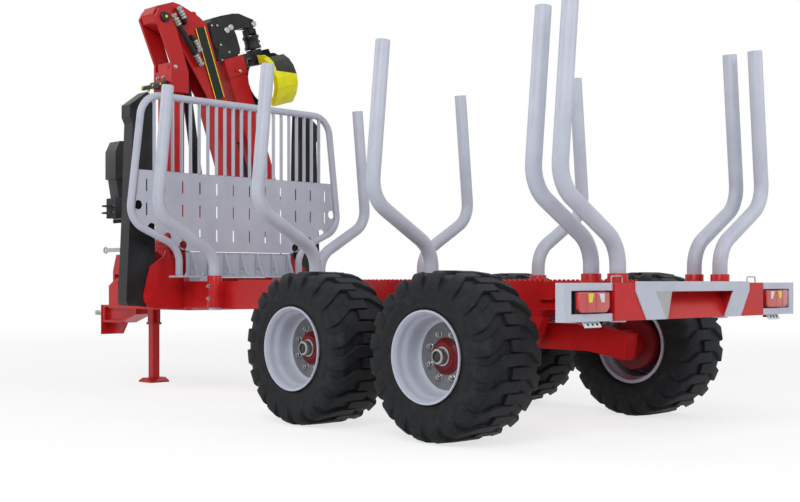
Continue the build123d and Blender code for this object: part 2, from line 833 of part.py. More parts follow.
def towing_eye():
    nose = FRONT_X - EYE_REACH + SEAT
    ring_x = FRONT_X - EYE_R
    shape = block(nose, nose + 20, -80, 80, EYE_Z - 80, EYE_Z + 80)
    shape += rod_x(0, EYE_Z, 44, nose + 19, nose + 44)
    shape += rod_x(0, EYE_Z, EYE_H / 2 - 3, nose + 43, ring_x - EYE_R + 20)
    shape += rod_z(ring_x, 0, EYE_R, EYE_Z - EYE_H / 2, EYE_Z + EYE_H / 2)
    return shape - rod_z(ring_x, 0, EYE_BORE_R, EYE_Z - EYE_H, EYE_Z + EYE_H)


def jack():
    # A square leg through the crane base, standing on the floor, with its crank above the base
    x = BOGIE_X + JACK_X
    outer = JACK_OUTER / 2
    inner = JACK_INNER / 2
    foot = JACK_FOOT / 2
    sleeve = block(x - outer, x + outer, -outer, outer, JACK_SLEEVE_Z, BASE_BOTTOM_Z - SEAT)
    sleeve += block(x - outer - 8, x + outer + 8, -outer - 8, outer + 8, JACK_SLEEVE_Z, JACK_SLEEVE_Z + 22)
    ear = block(x - outer - 35, x - outer + 1, -10, 10, JACK_SLEEVE_Z + 15, JACK_SLEEVE_Z + 135)
    tube = block(x - inner, x + inner, -inner, inner, JACK_FOOT_T - 1, JACK_SLEEVE_Z + 1)
    pad = prism_y(
        ((x - foot, 0), (x + foot, 0), (x + foot, JACK_FOOT_T), (x + inner, 44), (x - inner, 44), (x - foot, JACK_FOOT_T)),
        -foot,
        foot,
    )
    under = BASE_TOP_Z + SEAT
    head = block(x - outer, x + outer, -outer, outer, under, JACK_HEAD_Z)
    head += block(x - outer - 14, x + outer + 14, -outer - 14, outer + 14, under, under + 14)
    # Crank: shaft, arm and grip
    arm = x + outer + CRANK_OUT
    head += rod_x(0, JACK_HEAD_Z - 45, CRANK_R, x, arm)
    head += block(arm - CRANK_ARM_T, arm, -14, 14, JACK_HEAD_Z - 62, JACK_HEAD_Z + 95)
    head += rod_x(0, JACK_HEAD_Z + 78, CRANK_R, arm - 1, arm + CRANK_GRIP)
    return group([sleeve + ear + tube + pad, head])


def hose_stand():
    # A folded-plate tower with a lightening window, carrying the rail that the hoses hang on
    x = FRONT_X - HOSE_STAND_BACK
    base = DRAWBAR_TOP_Z + 0.5
    tower = prism_y(
        (
            (x - 90, base),
            (x + 90, base),
            (x + 90, base + 330),
            (x + 30, HOSE_STAND_TOP_Z),
            (x - 90, HOSE_STAND_TOP_Z),
        ),
        -60,
        60,
    )
    window = block(x - 58, x + 58, -70, 70, base + 60, base + 300)
    cavity = block(x - 78, x + 78, -48, 48, base + 12, base + 318)
    hook_x = FRONT_X - EYE_R - EYE_BORE_R - DRAWPIN_CLEAR - HOSE_HOOK_R
    rail = block(x - 90, hook_x - HOSE_HOOK_HOLE_R - 5, -12, 12, HOSE_RAIL_Z - 20, HOSE_RAIL_Z + 20)
    post = block(x - 20, x + 20, -12, 12, HOSE_STAND_TOP_Z - 1, HOSE_RAIL_Z - 19)
    hook = rod_y(hook_x, HOSE_RAIL_Z, HOSE_HOOK_R, -8, 8) - rod_y(hook_x, HOSE_RAIL_Z, HOSE_HOOK_HOLE_R, -9, 9)
    return tower - window - cavity + rail + post + hook


# Crane column, turning on the base
def column():
    spigot = rod_z(COLUMN_X, 0, SPIGOT_R, DRUM_TOP_Z - SPIGOT_LEN, COLUMN_FOOT_Z + 1)
    flange = rod_z(COLUMN_X, 0, 165, COLUMN_FOOT_Z, COLUMN_FOOT_Z + 40)
    half = COLUMN_W / 2
    cut = COLUMN_CHAMFER
    corner = half - cut
    section = (
        (-half, -corner),
        (-corner, -half),
        (corner, -half),
        (half, -corner),
        (half, corner),
        (corner, half),
        (-corner, half),
        (-half, corner),
    )
    floor = Plane(origin=(COLUMN_X, 0, COLUMN_FOOT_Z + 20))
    post = extrude(floor * make_face(Polyline(*section, close=True)), amount=COLUMN_TOP_Z - COLUMN_FOOT_Z - 80)
    # Four webs brace the post on its flange
    for turn in (45, 135, 225, 315):
        web = prism_x(((half - 30, 1), (150, 1), (150, 14), (half - 4, 130), (half - 30, 130)), -7, 7)
        flange += Pos(COLUMN_X, 0, COLUMN_FOOT_Z + 38) * Rot(0, 0, turn) * web
    shape = spigot + flange + post
    fork = (
        (-half, COLUMN_TOP_Z - 330),
        (-half, COLUMN_TOP_Z - 130),
        (10, BOOM_PIN_Z - 170),
        (75, BOOM_PIN_Z + 20),
        (100, BOOM_PIN_Z + 75),
        (140, BOOM_PIN_Z + 88),
        (225, BOOM_PIN_Z + 75),
        (262, BOOM_PIN_Z),
        (225, BOOM_PIN_Z - 90),
        (half, COLUMN_TOP_Z - 60),
        (half, COLUMN_TOP_Z - 330),
    )
    for side in (-1, 1):
        inner = COLUMN_X + side * FORK_GAP / 2
        shape += prism_x(fork, min(inner, inner + side * FORK_PLATE), max(inner, inner + side * FORK_PLATE))
    web = block(
        COLUMN_X - FORK_GAP / 2 - 1, COLUMN_X + FORK_GAP / 2 + 1, -half, half, COLUMN_TOP_Z - 330, COLUMN_TOP_Z - 130
    )
    shape += web
    reach = FORK_GAP / 2 + FORK_PLATE + 26
    shape += rod_x(BOOM_PIN_Y, BOOM_PIN_Z, BOOM_PIN_R, COLUMN_X - reach, COLUMN_X + reach)
    # Foot lugs of the lift cylinder
    for side in (-1, 1):
        inner = COLUMN_X + side * (EYE_W / 2 + 1)
        outer = inner + side * 20
        lug = prism_x(
            ((-half + 1, 1400), (-360, 1550), (-392, 1580), (-392, 1625), (-375, 1645), (-half + 1, 1645)),
            min(inner, outer),
            max(inner, outer),
        )
        shape += lug
    shape += rod_x(LIFT_BASE_Y, LIFT_BASE_Z, 25, COLUMN_X - EYE_W / 2 - 25, COLUMN_X + EYE_W / 2 + 25)
    return shape


def valve_unit():
    # Control valve: a cover above a bank of spool sections with their ports and spool caps
    x = COLUMN_X + 60
    back = VALVE_Y
    front = VALVE_Y + 150
    shape = prism_x(
        (
            (back - 10, VALVE_TOP_Z + 1),
            (front + 10, VALVE_TOP_Z + 1),
            (front + 10, VALVE_TOP_Z + 360),
            (front - 40, VALVE_TOP_Z + 450),
            (back - 10, VALVE_TOP_Z + 465),
        ),
        x - 90,
        x + 90,
    )
    shape += block(x - 76, x + 76, back + 14, front - 14, VALVE_LOW_Z + 14, VALVE_TOP_Z + 2)
    section = 160.0 / VALVE_SECTIONS
    for index in range(VALVE_SECTIONS):
        middle = x - 80 + (index + 0.5) * section
        near = middle - section / 2 + 2
        far = middle + section / 2 - 2
        shape += block(near, far, back, front, VALVE_LOW_Z + 40, VALVE_TOP_Z - 40)
        shape += rod_z(middle, (back + front) / 2, 11, VALVE_LOW_Z, VALVE_LOW_Z + 20)
        for z in (VALVE_LOW_Z + 90, VALVE_LOW_Z + 150):
            shape += rod_y(middle, z, 9, front - 1, front + 22)
    return shape + block(x - 30, x + 30, COLUMN_W / 2 + SEAT, back + 1, VALVE_TOP_Z + 60, VALVE_TOP_Z + 120)


# Main boom: two side plates closed by a web on the outer edge, a plain box lower down
def boom():
    outline = (
        (235, 3325),
        (262, 3400),
        (225, 3470),
        (45, 3535),
        (-40, 3520),
        (-250, 3440),
        (-330, 3380),
        (-545, 2745),
        (-905, 1560),
        (-1020, 1430),
        (-1020, 1350),
        (-940, 1320),
        (-870, 1360),
        (-740, 1560),
        (-345, 2700),
        (60, 3265),
    )
    half = BOOM_W / 2
    full = prism_x(outline, COLUMN_X - half, COLUMN_X + half)
    # The open channel for the lift cylinder's eye
    head_gap = prism_x(
        (
            (60, 3200),
            (60, 3505),
            (-40, 3497),
            (-240, 3418),
            (-310, 3366),
            (-505, 2790),
            (-440, 2640),
            (-100, 2700),
        ),
        COLUMN_X - half + BOOM_PLATE,
        COLUMN_X + half - BOOM_PLATE,
    )
    fork_gap = prism_x(
        ((-780, 1250), (-840, 1720), (-900, 1760), (-1100, 1620), (-1100, 1250)),
        COLUMN_X - half + 24,
        COLUMN_X + half - 24,
    )
    shape = full - head_gap - fork_gap
    shape -= rod_x(BOOM_PIN_Y, BOOM_PIN_Z, BOOM_PIN_R + PIN_FIT, COLUMN_X - 200, COLUMN_X + 200)
    for y, z, r in ((BOOM_PIN_Y, BOOM_PIN_Z, 62), (FOLD_PIN_Y, FOLD_PIN_Z, 55)):
        for side in (-1, 1):
            face = COLUMN_X + side * half
            low = min(face - side, face + side * BOSS_H)
            high = max(face - side, face + side * BOSS_H)
            bore = BOOM_PIN_R + PIN_FIT
            shape += rod_x(y, z, r, low, high) - rod_x(y, z, bore, low - 1, high + 1)
    shape += rod_x(FOLD_PIN_Y, FOLD_PIN_Z, FOLD_PIN_R, COLUMN_X - half - 14, COLUMN_X + half + 14)
    # Lifting eye on the head
    eye = ((-200, 3440), (-226, 3504), (-262, 3508), (-288, 3470), (-285, 3402))
    shape += prism_x(eye, COLUMN_X - 9, COLUMN_X + 9) - rod_x(-247, 3478, 15, COLUMN_X - 10, COLUMN_X + 10)
    # Lugs of the jib cylinder on the outer edge
    for side in (-1, 1):
        inner = COLUMN_X + side * (EYE_W / 2 + 1)
        outer = inner + side * 18
        lug = prism_x(
            ((-590, 2520), (-670, 2240), (-715, 2310), (-762, 2320), (-772, 2360), (-745, 2390), (-640, 2440)),
            min(inner, outer),
            max(inner, outer),
        )
        shape += lug
    shape += rod_x(JIB_BASE_Y, JIB_BASE_Z, 22, COLUMN_X - EYE_W / 2 - 22, COLUMN_X + EYE_W / 2 + 22)
    return shape


def jib_point(along, across):
    # A point on the folded outer boom: along its length upwards and across it, towards the column
    lean = math.radians(JIB_LEAN)
    y = JIB_AXIS_Y + along * math.sin(lean) + across * math.cos(lean)
    z = JIB_AXIS_Z + along * math.cos(lean) - across * math.sin(lean)
    return (y, z)


def jib():
    half = JIB_W / 2
    depth = JIB_DEPTH / 2
    length = JIB_LEN
    wall = JIB_WALL
    sleeve = JIB_WALL
    tube = prism_x(
        (jib_point(0, -depth), jib_point(0, depth), jib_point(-length, depth), jib_point(-length, -depth)),
        COLUMN_X - half,
        COLUMN_X + half,
    )
    bore = prism_x(
        (
            jib_point(-PAD_LEN, -depth + wall),
            jib_point(-PAD_LEN, depth - wall),
            jib_point(-length + 80, depth - wall),
            jib_point(-length + 80, -depth + wall),
        ),
        COLUMN_X - half + wall,
        COLUMN_X + half - wall,
    )
    # The mouth is narrower, as its wear pads run on the telescopic piece
    near = wall + GAP - SEAT
    mouth = prism_x(
        (
            jib_point(10, -depth + near),
            jib_point(10, depth - near),
            jib_point(-PAD_LEN - 1, depth - near),
            jib_point(-PAD_LEN - 1, -depth + near),
        ),
        COLUMN_X - half + near,
        COLUMN_X + half - near,
    )
    collar = prism_x(
        (
            jib_point(0, -depth - sleeve),
            jib_point(0, depth + sleeve),
            jib_point(-180, depth + sleeve),
            jib_point(-180, -depth - sleeve),
        ),
        COLUMN_X - half - sleeve,
        COLUMN_X + half + sleeve,
    )
    # The knuckle plates carry the fold pin's bore and the cylinder's eye between them
    knuckle = prism_x(
        (
            jib_point(-length + 1, depth),
            (-940, 1640),
            (-890, 1430),
            (-895, 1360),
            (-950, 1335),
            (-1010, 1355),
            (-1190, 1520),
            jib_point(-length + 1, -depth),
        ),
        COLUMN_X - half + 25,
        COLUMN_X + half - 25,
    )
    eye_gap = prism_x(
        (
            jib_point(-length + 8, depth - 4),
            jib_point(-length + 8, -depth + 40),
            (-1150, 1500),
            (-1010, 1340),
            (-1000, 1300),
            (-880, 1300),
            (-860, 1680),
        ),
        COLUMN_X - EYE_W / 2 - GAP,
        COLUMN_X + EYE_W / 2 + GAP,
    )
    shape = tube + collar - bore - mouth + knuckle - eye_gap
    return shape - rod_x(FOLD_PIN_Y, FOLD_PIN_Z, FOLD_PIN_R + PIN_FIT, COLUMN_X - 200, COLUMN_X + 200)


def boom_tip():
    half = JIB_W / 2 - JIB_WALL - GAP
    depth = JIB_DEPTH / 2 - JIB_WALL - GAP
    inner = prism_x(
        (
            jib_point(60, -depth),
            jib_point(60, depth),
            jib_point(-TIP_INSIDE, depth),
            jib_point(-TIP_INSIDE, -depth),
        ),
        COLUMN_X - half,
        COLUMN_X + half,
    )
    # Wear pads at the inner end run on the walls of the outer boom
    pad = GAP - SEAT
    pads = prism_x(
        (
            jib_point(PAD_LEN - TIP_INSIDE, -depth - pad),
            jib_point(PAD_LEN - TIP_INSIDE, depth + pad),
            jib_point(-TIP_INSIDE, depth + pad),
            jib_point(-TIP_INSIDE, -depth - pad),
        ),
        COLUMN_X - half - pad,
        COLUMN_X + half + pad,
    )
    neck = prism_x(
        (
            jib_point(12, JIB_DEPTH / 2),
            (-410, 3220),
            (-372, 3410),
            (-400, 3455),
            (-500, 3496),
            (-640, 3540),
            (-715, 3552),
            (-890, 3520),
            (-925, 3482),
            (-890, 3440),
            (-760, 3420),
            (-665, 3380),
            (-690, 3335),
            (-735, 3210),
            jib_point(12, -JIB_DEPTH / 2),
        ),
        COLUMN_X - 85,
        COLUMN_X + 85,
    )
    gap = block(COLUMN_X - 45, COLUMN_X + 45, TIP_PIN_Y - 115, TIP_PIN_Y + 60, TIP_PIN_Z - 102, TIP_PIN_Z + 118)
    shape = inner + pads + neck - gap
    return shape - rod_x(TIP_PIN_Y, TIP_PIN_Z, TIP_PIN_R + PIN_FIT, COLUMN_X - 120, COLUMN_X + 120)


def hanging(shape):
    # Places a piece modelled about the tip pin, hanging straight down, at the grapple's lean
    return Pos(COLUMN_X, TIP_PIN_Y, TIP_PIN_Z) * Rot(-GRAPPLE_LEAN, 0, 0) * shape


def link():
    # Hangs in the tip's fork on its own pin and carries the crosswise pin of the rotator
    pin = rod_x(0, 0, TIP_PIN_R, -100, 100)
    body = block(-38, 38, -34, 34, -LINK_DROP, 32)
    low = rod_y(0, -LINK_DROP, LINK_CROSS_R, -68, 68)
    knuckle = rod_y(0, -LINK_DROP, 30, -38, 38)
    return hanging(pin + body + knuckle + low)


def rotator():
    # The drum's end flanges stand proud of its waist, which carries the hose ports
    low = -ROTATOR_TOP - ROTATOR_H
    shape = rod_z(0, 0, ROTATOR_R - 9, low, -ROTATOR_TOP)
    shape += rod_z(0, 0, ROTATOR_R, low, low + 34) + rod_z(0, 0, ROTATOR_R, -ROTATOR_TOP - 30, -ROTATOR_TOP)
    for x in (-22, 22):
        shape += rod_y(x, low + 66, 12, -ROTATOR_R, 0)
    for side in (-1, 1):
        shape += block(-32, 32, min(side * 43, side * 60), max(side * 43, side * 60), -ROTATOR_TOP - 1, -LINK_DROP + 30)
    shape -= rod_y(0, -LINK_DROP, LINK_CROSS_R + PIN_FIT, -100, 100)
    shape -= rod_z(0, 0, ROTATOR_SHAFT_R + PIN_FIT, -HEAD_TOP, -HEAD_TOP + GAP + 20)
    return hanging(shape)


def grapple_head():
    # Two side plates carry the jaws' pins, joined by a crosspiece short enough for the open jaws
    top = -HEAD_TOP
    under = top - HEAD_FLANGE_H
    half = JAW_PIN_X + HEAD_PLATE_END
    shape = rod_z(0, 0, 75, under, top) + rod_z(0, 0, ROTATOR_SHAFT_R, top - 1, top + GAP + 18)
    shape += block(-HEAD_CROSS_HALF, HEAD_CROSS_HALF, -JAW_EAR_OUT, JAW_EAR_OUT, under - HEAD_H, under + 1)
    outline = (
        (-half + 14, under + 1),
        (half - 14, under + 1),
        (half, under - 60),
        (half, -JAW_PIN_DROP - 34),
        (JAW_PIN_X - 38, -JAW_PIN_DROP - 34),
        (40, under - 52),
        (-40, under - 52),
        (-JAW_PIN_X + 38, -JAW_PIN_DROP - 34),
        (-half, -JAW_PIN_DROP - 34),
        (-half, under - 60),
    )
    shape += prism_y(outline, JAW_EAR_IN, JAW_EAR_OUT) + prism_y(outline, -JAW_EAR_OUT, -JAW_EAR_IN)
    for side in (-1, 1):
        shape += rod_y(side * JAW_PIN_X, -JAW_PIN_DROP, JAW_PIN_R, -JAW_EAR_OUT - 8, JAW_EAR_OUT + 8)
    return hanging(shape)


def jaw(side):
    # Two ribs on a boss, closed by a broad curved shell; outlines are (x, drop) with the jaws shut
    rib = (
        (62, -332),
        (100, -316),
        (150, -328),
        (225, -385),
        (275, -470),
        (286, -560),
        (262, -660),
        (205, -740),
        (205, -690),
        (240, -620),
        (238, -540),
        (215, -470),
        (160, -420),
        (100, -400),
        (66, -392),
    )
    shell = (
        (262, -440),
        (296, -520),
        (300, -600),
        (272, -690),
        (212, -765),
        (120, -815),
        (6, -838),
        (6, -824),
        (115, -801),
        (202, -753),
        (258, -684),
        (285, -599),
        (281, -521),
        (249, -445),
    )
    solid = prism_y(rib, JAW_RIB_IN, JAW_RIB_OUT) + prism_y(rib, -JAW_RIB_OUT, -JAW_RIB_IN)
    solid += rod_y(JAW_PIN_X, -JAW_PIN_DROP, 42, -JAW_RIB_OUT, JAW_RIB_OUT)
    solid += prism_y(shell, -JAW_SHELL_HALF, JAW_SHELL_HALF)
    # Flanges turned inwards along both edges of the shell
    for face in (-1, 1):
        edge = face * JAW_SHELL_HALF
        inner = face * (JAW_SHELL_HALF - JAW_FLANGE_T)
        solid += prism_y(JAW_FLANGE, min(edge, inner), max(edge, inner))
    solid -= rod_y(JAW_PIN_X, -JAW_PIN_DROP, JAW_PIN_R + PIN_FIT, -200, 200)
    opened = Pos(JAW_PIN_X, 0, -JAW_PIN_DROP) * Rot(0, -JAW_REST, 0) * Pos(-JAW_PIN_X, 0, JAW_PIN_DROP) * solid
    if side < 0:
        opened = mirror(opened, about=Plane.YZ)
    return hanging(opened)


# Hydraulic cylinders: a barrel with an eye at its foot and a rod with an eye at its end
def barrel(x, base, tip, eye_w, pin_r, r, length, bore):
    # The neck between eye and tube is as narrow as the eye, so that the tube starts clear of its lugs
    neck = between(x, base, tip, eye_w / 2 - 2, 0, BARREL_START + 1)
    body = between(x, base, tip, r - GLAND_STEP, BARREL_START, length)
    body += between(x, base, tip, r, length - GLAND_LEN, length)
    eye = rod_x(base[0], base[1], pin_r + 20, x - eye_w / 2, x + eye_w / 2)
    shape = body + eye + neck
    shape -= between(x, base, tip, bore, BARREL_START + 20, length + 10)
    return shape - rod_x(base[0], base[1], pin_r + PIN_FIT, x - eye_w, x + eye_w)


def rod(x, base, tip, eye_w, r, start, eye_r):
    full = math.hypot(tip[0] - base[0], tip[1] - base[1])
    body = between(x, base, tip, r, start, full - eye_r * 0.5)
    eye = rod_x(tip[0], tip[1], eye_r, x - eye_w / 2, x + eye_w / 2)
    return body + eye


def leg():
    # Channel leg, raised beside the headboard, with its foot plate at the upper end
    half = LEG_W / 2
    outline = (
        (770, 745),
        (1030, 755),
        (1045, 800),
        (1010, 1500),
        (985, 2250),
        (790, 2250),
        (775, 1400),
        (770, 1180),
    )
    shape = prism_x(outline, LEG_X - half, LEG_X + half)
    channel = prism_x(
        (
            (700, 735),
            (965, 735),
            (965, 1100),
            (988, 1250),
            (985, 1700),
            (940, 1820),
            (700, 1820),
        ),
        LEG_X - half + 14,
        LEG_X + half - 14,
    )
    shape -= channel
    shape -= rod_x(LEG_PIN_Y, LEG_PIN_Z, LEG_PIN_R + PIN_FIT, LEG_X - 100, LEG_X + 100)
    foot = prism_x(
        ((830, 2249), (985, 2249), (1010, 2300), (1010, 2400), (850, 2520), (800, 2500), (790, 2249)),
        LEG_X - half,
        LEG_X + half,
    )
    return shape + foot


keep("frame", frame())
keep("stakes_left", stakes(1))
keep("stakes_right", stakes(-1))
keep("headboard_frame", headboard_frame())
keep("headboard_plate", headboard_plate())
keep("headboard_foot", headboard_foot())
keep("bumper", bumper())
keep("bumper_trim", bumper_trim())
keep("lamp_frames", lamp_frames())
keep("lamps", lamps())
keep("bogie_left", bogie())
keep("bogie_right", mirror_y(bogie()))
keep("bogie_pivot", bogie_pivot())
keep("crane_base", crane_base())
keep("stabiliser_brackets", stabiliser_brackets())
keep("drawbar", drawbar())
keep("towing_eye", towing_eye())
keep("jack", jack())
keep("hose_stand", hose_stand())
wheels()
keep("column", column())
keep("valve_unit", valve_unit())
keep("boom", boom())
keep("jib", jib())
keep("boom_tip", boom_tip())
keep("link", link())
keep("rotator", rotator())
keep("grapple_head", grapple_head())
keep("jaw_rear", jaw(-1))
keep("jaw_front", jaw(1))

LIFT_BASE = (LIFT_BASE_Y, LIFT_BASE_Z)
LIFT_EYE = (LIFT_EYE_Y, LIFT_EYE_Z)
JIB_BASE = (JIB_BASE_Y, JIB_BASE_Z)
JIB_EYE = (JIB_EYE_Y, JIB_EYE_Z)
LEG_BASE = (LEG_BASE_Y, LEG_BASE_Z)
LEG_EYE = (LEG_EYE_Y, LEG_EYE_Z)
keep("lift_barrel", barrel(COLUMN_X, LIFT_BASE, LIFT_EYE, EYE_W, 25, 50, 1220, ROD_R + PIN_FIT))
keep("lift_rod", rod(COLUMN_X, LIFT_BASE, LIFT_EYE, EYE_W, ROD_R, 500, 45))
keep("jib_barrel", barrel(COLUMN_X, JIB_BASE, JIB_EYE, EYE_W, 22, 42, 620, JIB_ROD_R + PIN_FIT))
keep("jib_rod", rod(COLUMN_X, JIB_BASE, JIB_EYE, EYE_W, JIB_ROD_R, 220, 36))
leg_barrel = barrel(LEG_X, LEG_BASE, LEG_EYE, 70, 18, 38, 440, LEG_ROD_R + PIN_FIT)
leg_rod = rod(LEG_X, LEG_BASE, LEG_EYE, 70, LEG_ROD_R, 90, 28)
keep("leg_barrel_left", leg_barrel)
keep("leg_rod_left", leg_rod)
keep("leg_barrel_right", mirror_y(leg_barrel))
keep("leg_rod_right", mirror_y(leg_rod))
keep("leg_left", leg())
keep("leg_right", mirror_y(leg()))

for name, shape in NODES.items():
    export_step(shape, "parts/" + name + ".step")
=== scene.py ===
import math

import bmesh
import bpy
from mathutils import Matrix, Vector
from mathutils.geometry import tessellate_polygon


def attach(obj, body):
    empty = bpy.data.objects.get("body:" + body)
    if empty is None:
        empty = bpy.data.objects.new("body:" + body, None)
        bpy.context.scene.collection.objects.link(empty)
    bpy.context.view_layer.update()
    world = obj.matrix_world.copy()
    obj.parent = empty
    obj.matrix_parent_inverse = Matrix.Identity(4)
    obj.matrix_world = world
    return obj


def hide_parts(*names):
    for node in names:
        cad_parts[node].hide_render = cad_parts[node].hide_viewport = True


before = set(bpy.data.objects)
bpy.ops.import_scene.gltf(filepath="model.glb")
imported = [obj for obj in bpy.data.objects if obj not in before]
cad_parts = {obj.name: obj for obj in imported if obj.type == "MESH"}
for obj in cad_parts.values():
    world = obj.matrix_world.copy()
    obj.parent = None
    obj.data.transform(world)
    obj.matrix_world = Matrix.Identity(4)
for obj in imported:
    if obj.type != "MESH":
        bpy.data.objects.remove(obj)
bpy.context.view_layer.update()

# Photographer's stage: a white paper floor that runs out of sight, under three square softboxes,
# the largest above the near side. The camera stands at the trailer's left rear corner at waist
# height, level, with a short telephoto lens.
PAPER_WHITE = "FFFFFF"
PAPER_WIDE = 160
PAPER_NEAR, PAPER_FAR = 5.0, 15.0
NEAR_SHARE, FAR_SHARE = 0.72, 1.0
ROOM_WHITE = "EEF2FA"
ROOM_GLOW = 0.50
SOFTBOXES = (
    # name, place, what it points at, side of the square, watts
    ("key_softbox", (-6.0, 9.0, 8.5), (0.0, 0.0, 1.2), 6.0, 760.0),
    ("rear_softbox", (-10.5, -3.0, 7.0), (0.0, 0.0, 1.0), 5.0, 330.0),
    ("front_softbox", (9.0, 6.0, 8.0), (0.5, 0.0, 1.5), 5.0, 300.0),
)
CAMERA_PLACE = (-7.190, 6.178, 0.9565)
CAMERA_HEADING = math.radians(-134.56)
FILM_MM, FOCAL_MM = 36.0, 52.95
RISING_FRONT = 0.0376


def linear(code):
    values = []
    for start in (0, 2, 4):
        channel = int(code[start:start + 2], 16) / 255
        if channel <= 0.04045:
            values.append(channel / 12.92)
        else:
            values.append(((channel + 0.055) / 1.055) ** 2.4)
    return (*values, 1.0)


def add(owner, kind, settings=None, links=()):
    # One shader node with its settings, wired from (socket, other node, its socket). A ramp's
    # stops are (place, colour) from low to high.
    made = owner.node_tree.nodes.new(kind)
    for key, value in (settings or {}).items():
        if key == "stops":
            elements = made.color_ramp.elements
            while len(elements) < len(value):
                elements.new(1.0)
            for element, (place, code) in zip(elements, value):
                element.position = place
                element.color = linear(code)
        elif isinstance(key, int) or key in made.inputs:
            made.inputs[key].default_value = value
        else:
            setattr(made, key, value)
    for socket, source, output in links:
        owner.node_tree.links.new(source.outputs[output], made.inputs[socket])
    return made


def start_material(name):
    material = bpy.data.materials.new(name)
    material.use_nodes = True
    material.node_tree.nodes.clear()
    return material


def seen_directly(owner):
    # 1 for what the lens sees, also through a clear piece or as a reflection in a glossy one
    paths = add(owner, "ShaderNodeLightPath")
    straight = add(
        owner, "ShaderNodeMath", {"operation": "MAXIMUM"},
        [(0, paths, "Is Camera Ray"), (1, paths, "Is Transmission Ray")],
    )
    return add(
        owner, "ShaderNodeMath", {"operation": "MAXIMUM"},
        [(0, straight, "Value"), (1, paths, "Is Glossy Ray")],
    )


paper = start_material("white_paper_floor")
# The paper shows white of its own to the lens and in reflections, all of it far off, and three
# quarters of it under the trailer, so that the soft shadow stays
matt = add(paper, "ShaderNodeBsdfDiffuse", {"Color": linear(PAPER_WHITE)})
bare = add(paper, "ShaderNodeEmission", {"Color": linear(PAPER_WHITE), "Strength": 1.0})
spot = add(paper, "ShaderNodeTexCoord")
reach = add(paper, "ShaderNodeVectorMath", {"operation": "LENGTH"}, [("Vector", spot, "Object")])
share = add(
    paper, "ShaderNodeMapRange",
    {"From Min": PAPER_NEAR, "From Max": PAPER_FAR, "To Min": NEAR_SHARE, "To Max": FAR_SHARE},
    [("Value", reach, "Value")],
)
white_share = add(
    paper, "ShaderNodeMath", {"operation": "MULTIPLY"},
    [(0, seen_directly(paper), "Value"), (1, share, "Result")],
)
blend = add(
    paper, "ShaderNodeMixShader", {},
    [(0, white_share, "Value"), (1, matt, "BSDF"), (2, bare, "Emission")],
)
add(paper, "ShaderNodeOutputMaterial", {}, [("Surface", blend, "Shader")])
bpy.ops.mesh.primitive_plane_add(size=PAPER_WIDE)
floor = bpy.context.object
floor.name = "stage_floor"
floor.data.materials.append(paper)

world = bpy.data.worlds.new("studio")
bpy.context.scene.world = world
world.use_nodes = True
world.node_tree.nodes.clear()
white = add(world, "ShaderNodeBackground", {"Color": linear(PAPER_WHITE), "Strength": 1.0})
soft = add(world, "ShaderNodeBackground", {"Color": linear(ROOM_WHITE), "Strength": ROOM_GLOW})
both = add(
    world, "ShaderNodeMixShader", {},
    [(0, seen_directly(world), "Value"), (1, soft, "Background"), (2, white, "Background")],
)
add(world, "ShaderNodeOutputWorld", {}, [("Surface", both, "Shader")])

for name, place, aim, size, watts in SOFTBOXES:
    lamp = bpy.data.lights.new(name, "AREA")
    lamp.shape = "SQUARE"
    lamp.size = size
    lamp.energy = watts
    holder = bpy.data.objects.new(name, lamp)
    bpy.context.scene.collection.objects.link(holder)
    holder.location = place
    holder.rotation_euler = (Vector(aim) - Vector(place)).to_track_quat("-Z", "Y").to_euler()

optics = bpy.data.cameras.new("camera")
optics.sensor_width = FILM_MM
optics.lens = FOCAL_MM
optics.shift_y = RISING_FRONT
camera = bpy.data.objects.new("camera", optics)
camera.location = CAMERA_PLACE
camera.rotation_euler = (math.radians(90), 0, CAMERA_HEADING)
bpy.context.scene.collection.objects.link(camera)
bpy.context.scene.camera = camera
bpy.context.scene.view_settings.view_transform = "Standard"

# Tyres: wide flotation tyres of black rubber, moulded with twenty slanting lugs a side that
# run from a block on the shoulder to just past the middle, where the two sides interlock.
RUBBER = ("17191B", "1E2022", "2C2D2E")
WHEEL_PLACES = (
    # wheel, x, y, side
    ("left_front", -1.171, 1.015, 1),
    ("left_rear", -2.401, 1.015, 1),
    ("right_front", -1.171, -1.015, -1),
    ("right_rear", -2.401, -1.015, -1),
)
AXLE_HEIGHT = 0.5105
CARCASS = (
    # across from the tyre's middle, radius, in mm
    (-178, 262), (-178, 279), (-198, 286), (-216, 296), (-232, 315), (-242, 345), (-245, 380),
    (-242, 415), (-235, 442), (-222, 464), (-205, 477), (-180, 483), (-120, 486), (-60, 487.5),
    (0, 488), (60, 487.5), (120, 486), (180, 483), (205, 477), (222, 464), (235, 442), (242, 415),
    (245, 380), (245.5, 352), (243, 326), (238, 306), (240, 300), (238, 294), (235, 287),
    (230, 279), (216, 262),
)
CARCASS_STEPS = 120
LUG_COUNT = 20
LUG_PHASE = math.radians(-80.34)
LUG_LINE = (
    # base across, base radius, top across, top radius, shift round, half width, in mm
    (245.0, 388, 246.5, 390, 0, 38),
    (243.0, 405, 249.0, 408, 0, 45),
    (239.0, 430, 249.5, 438, 0, 47),
    (228.0, 455, 243.0, 470, 1, 47),
    (212.0, 470, 224.0, 492, 7, 45),
    (192.0, 478, 200.0, 505, 20, 41),
    (116.0, 484, 117.0, 510, 76, 36),
    (100.0, 485, 100.0, 510.5, 83, 34.5),
    (-36.0, 486, -36.0, 510.5, 86, 34.5),
    (-49.0, 486, -46.0, 509.5, 86, 30),
)
# Shifts and widths are measured round the tread, in mm. A flank leans out to its foot, and the
# edge on top is rounded.
LUG_LINE_R = 510.0
LUG_FOOT, LUG_EDGE, LUG_TOP = 7, 1, 3.5
EDGE_DROP = 0.16
EDGE_BACK = 0.03


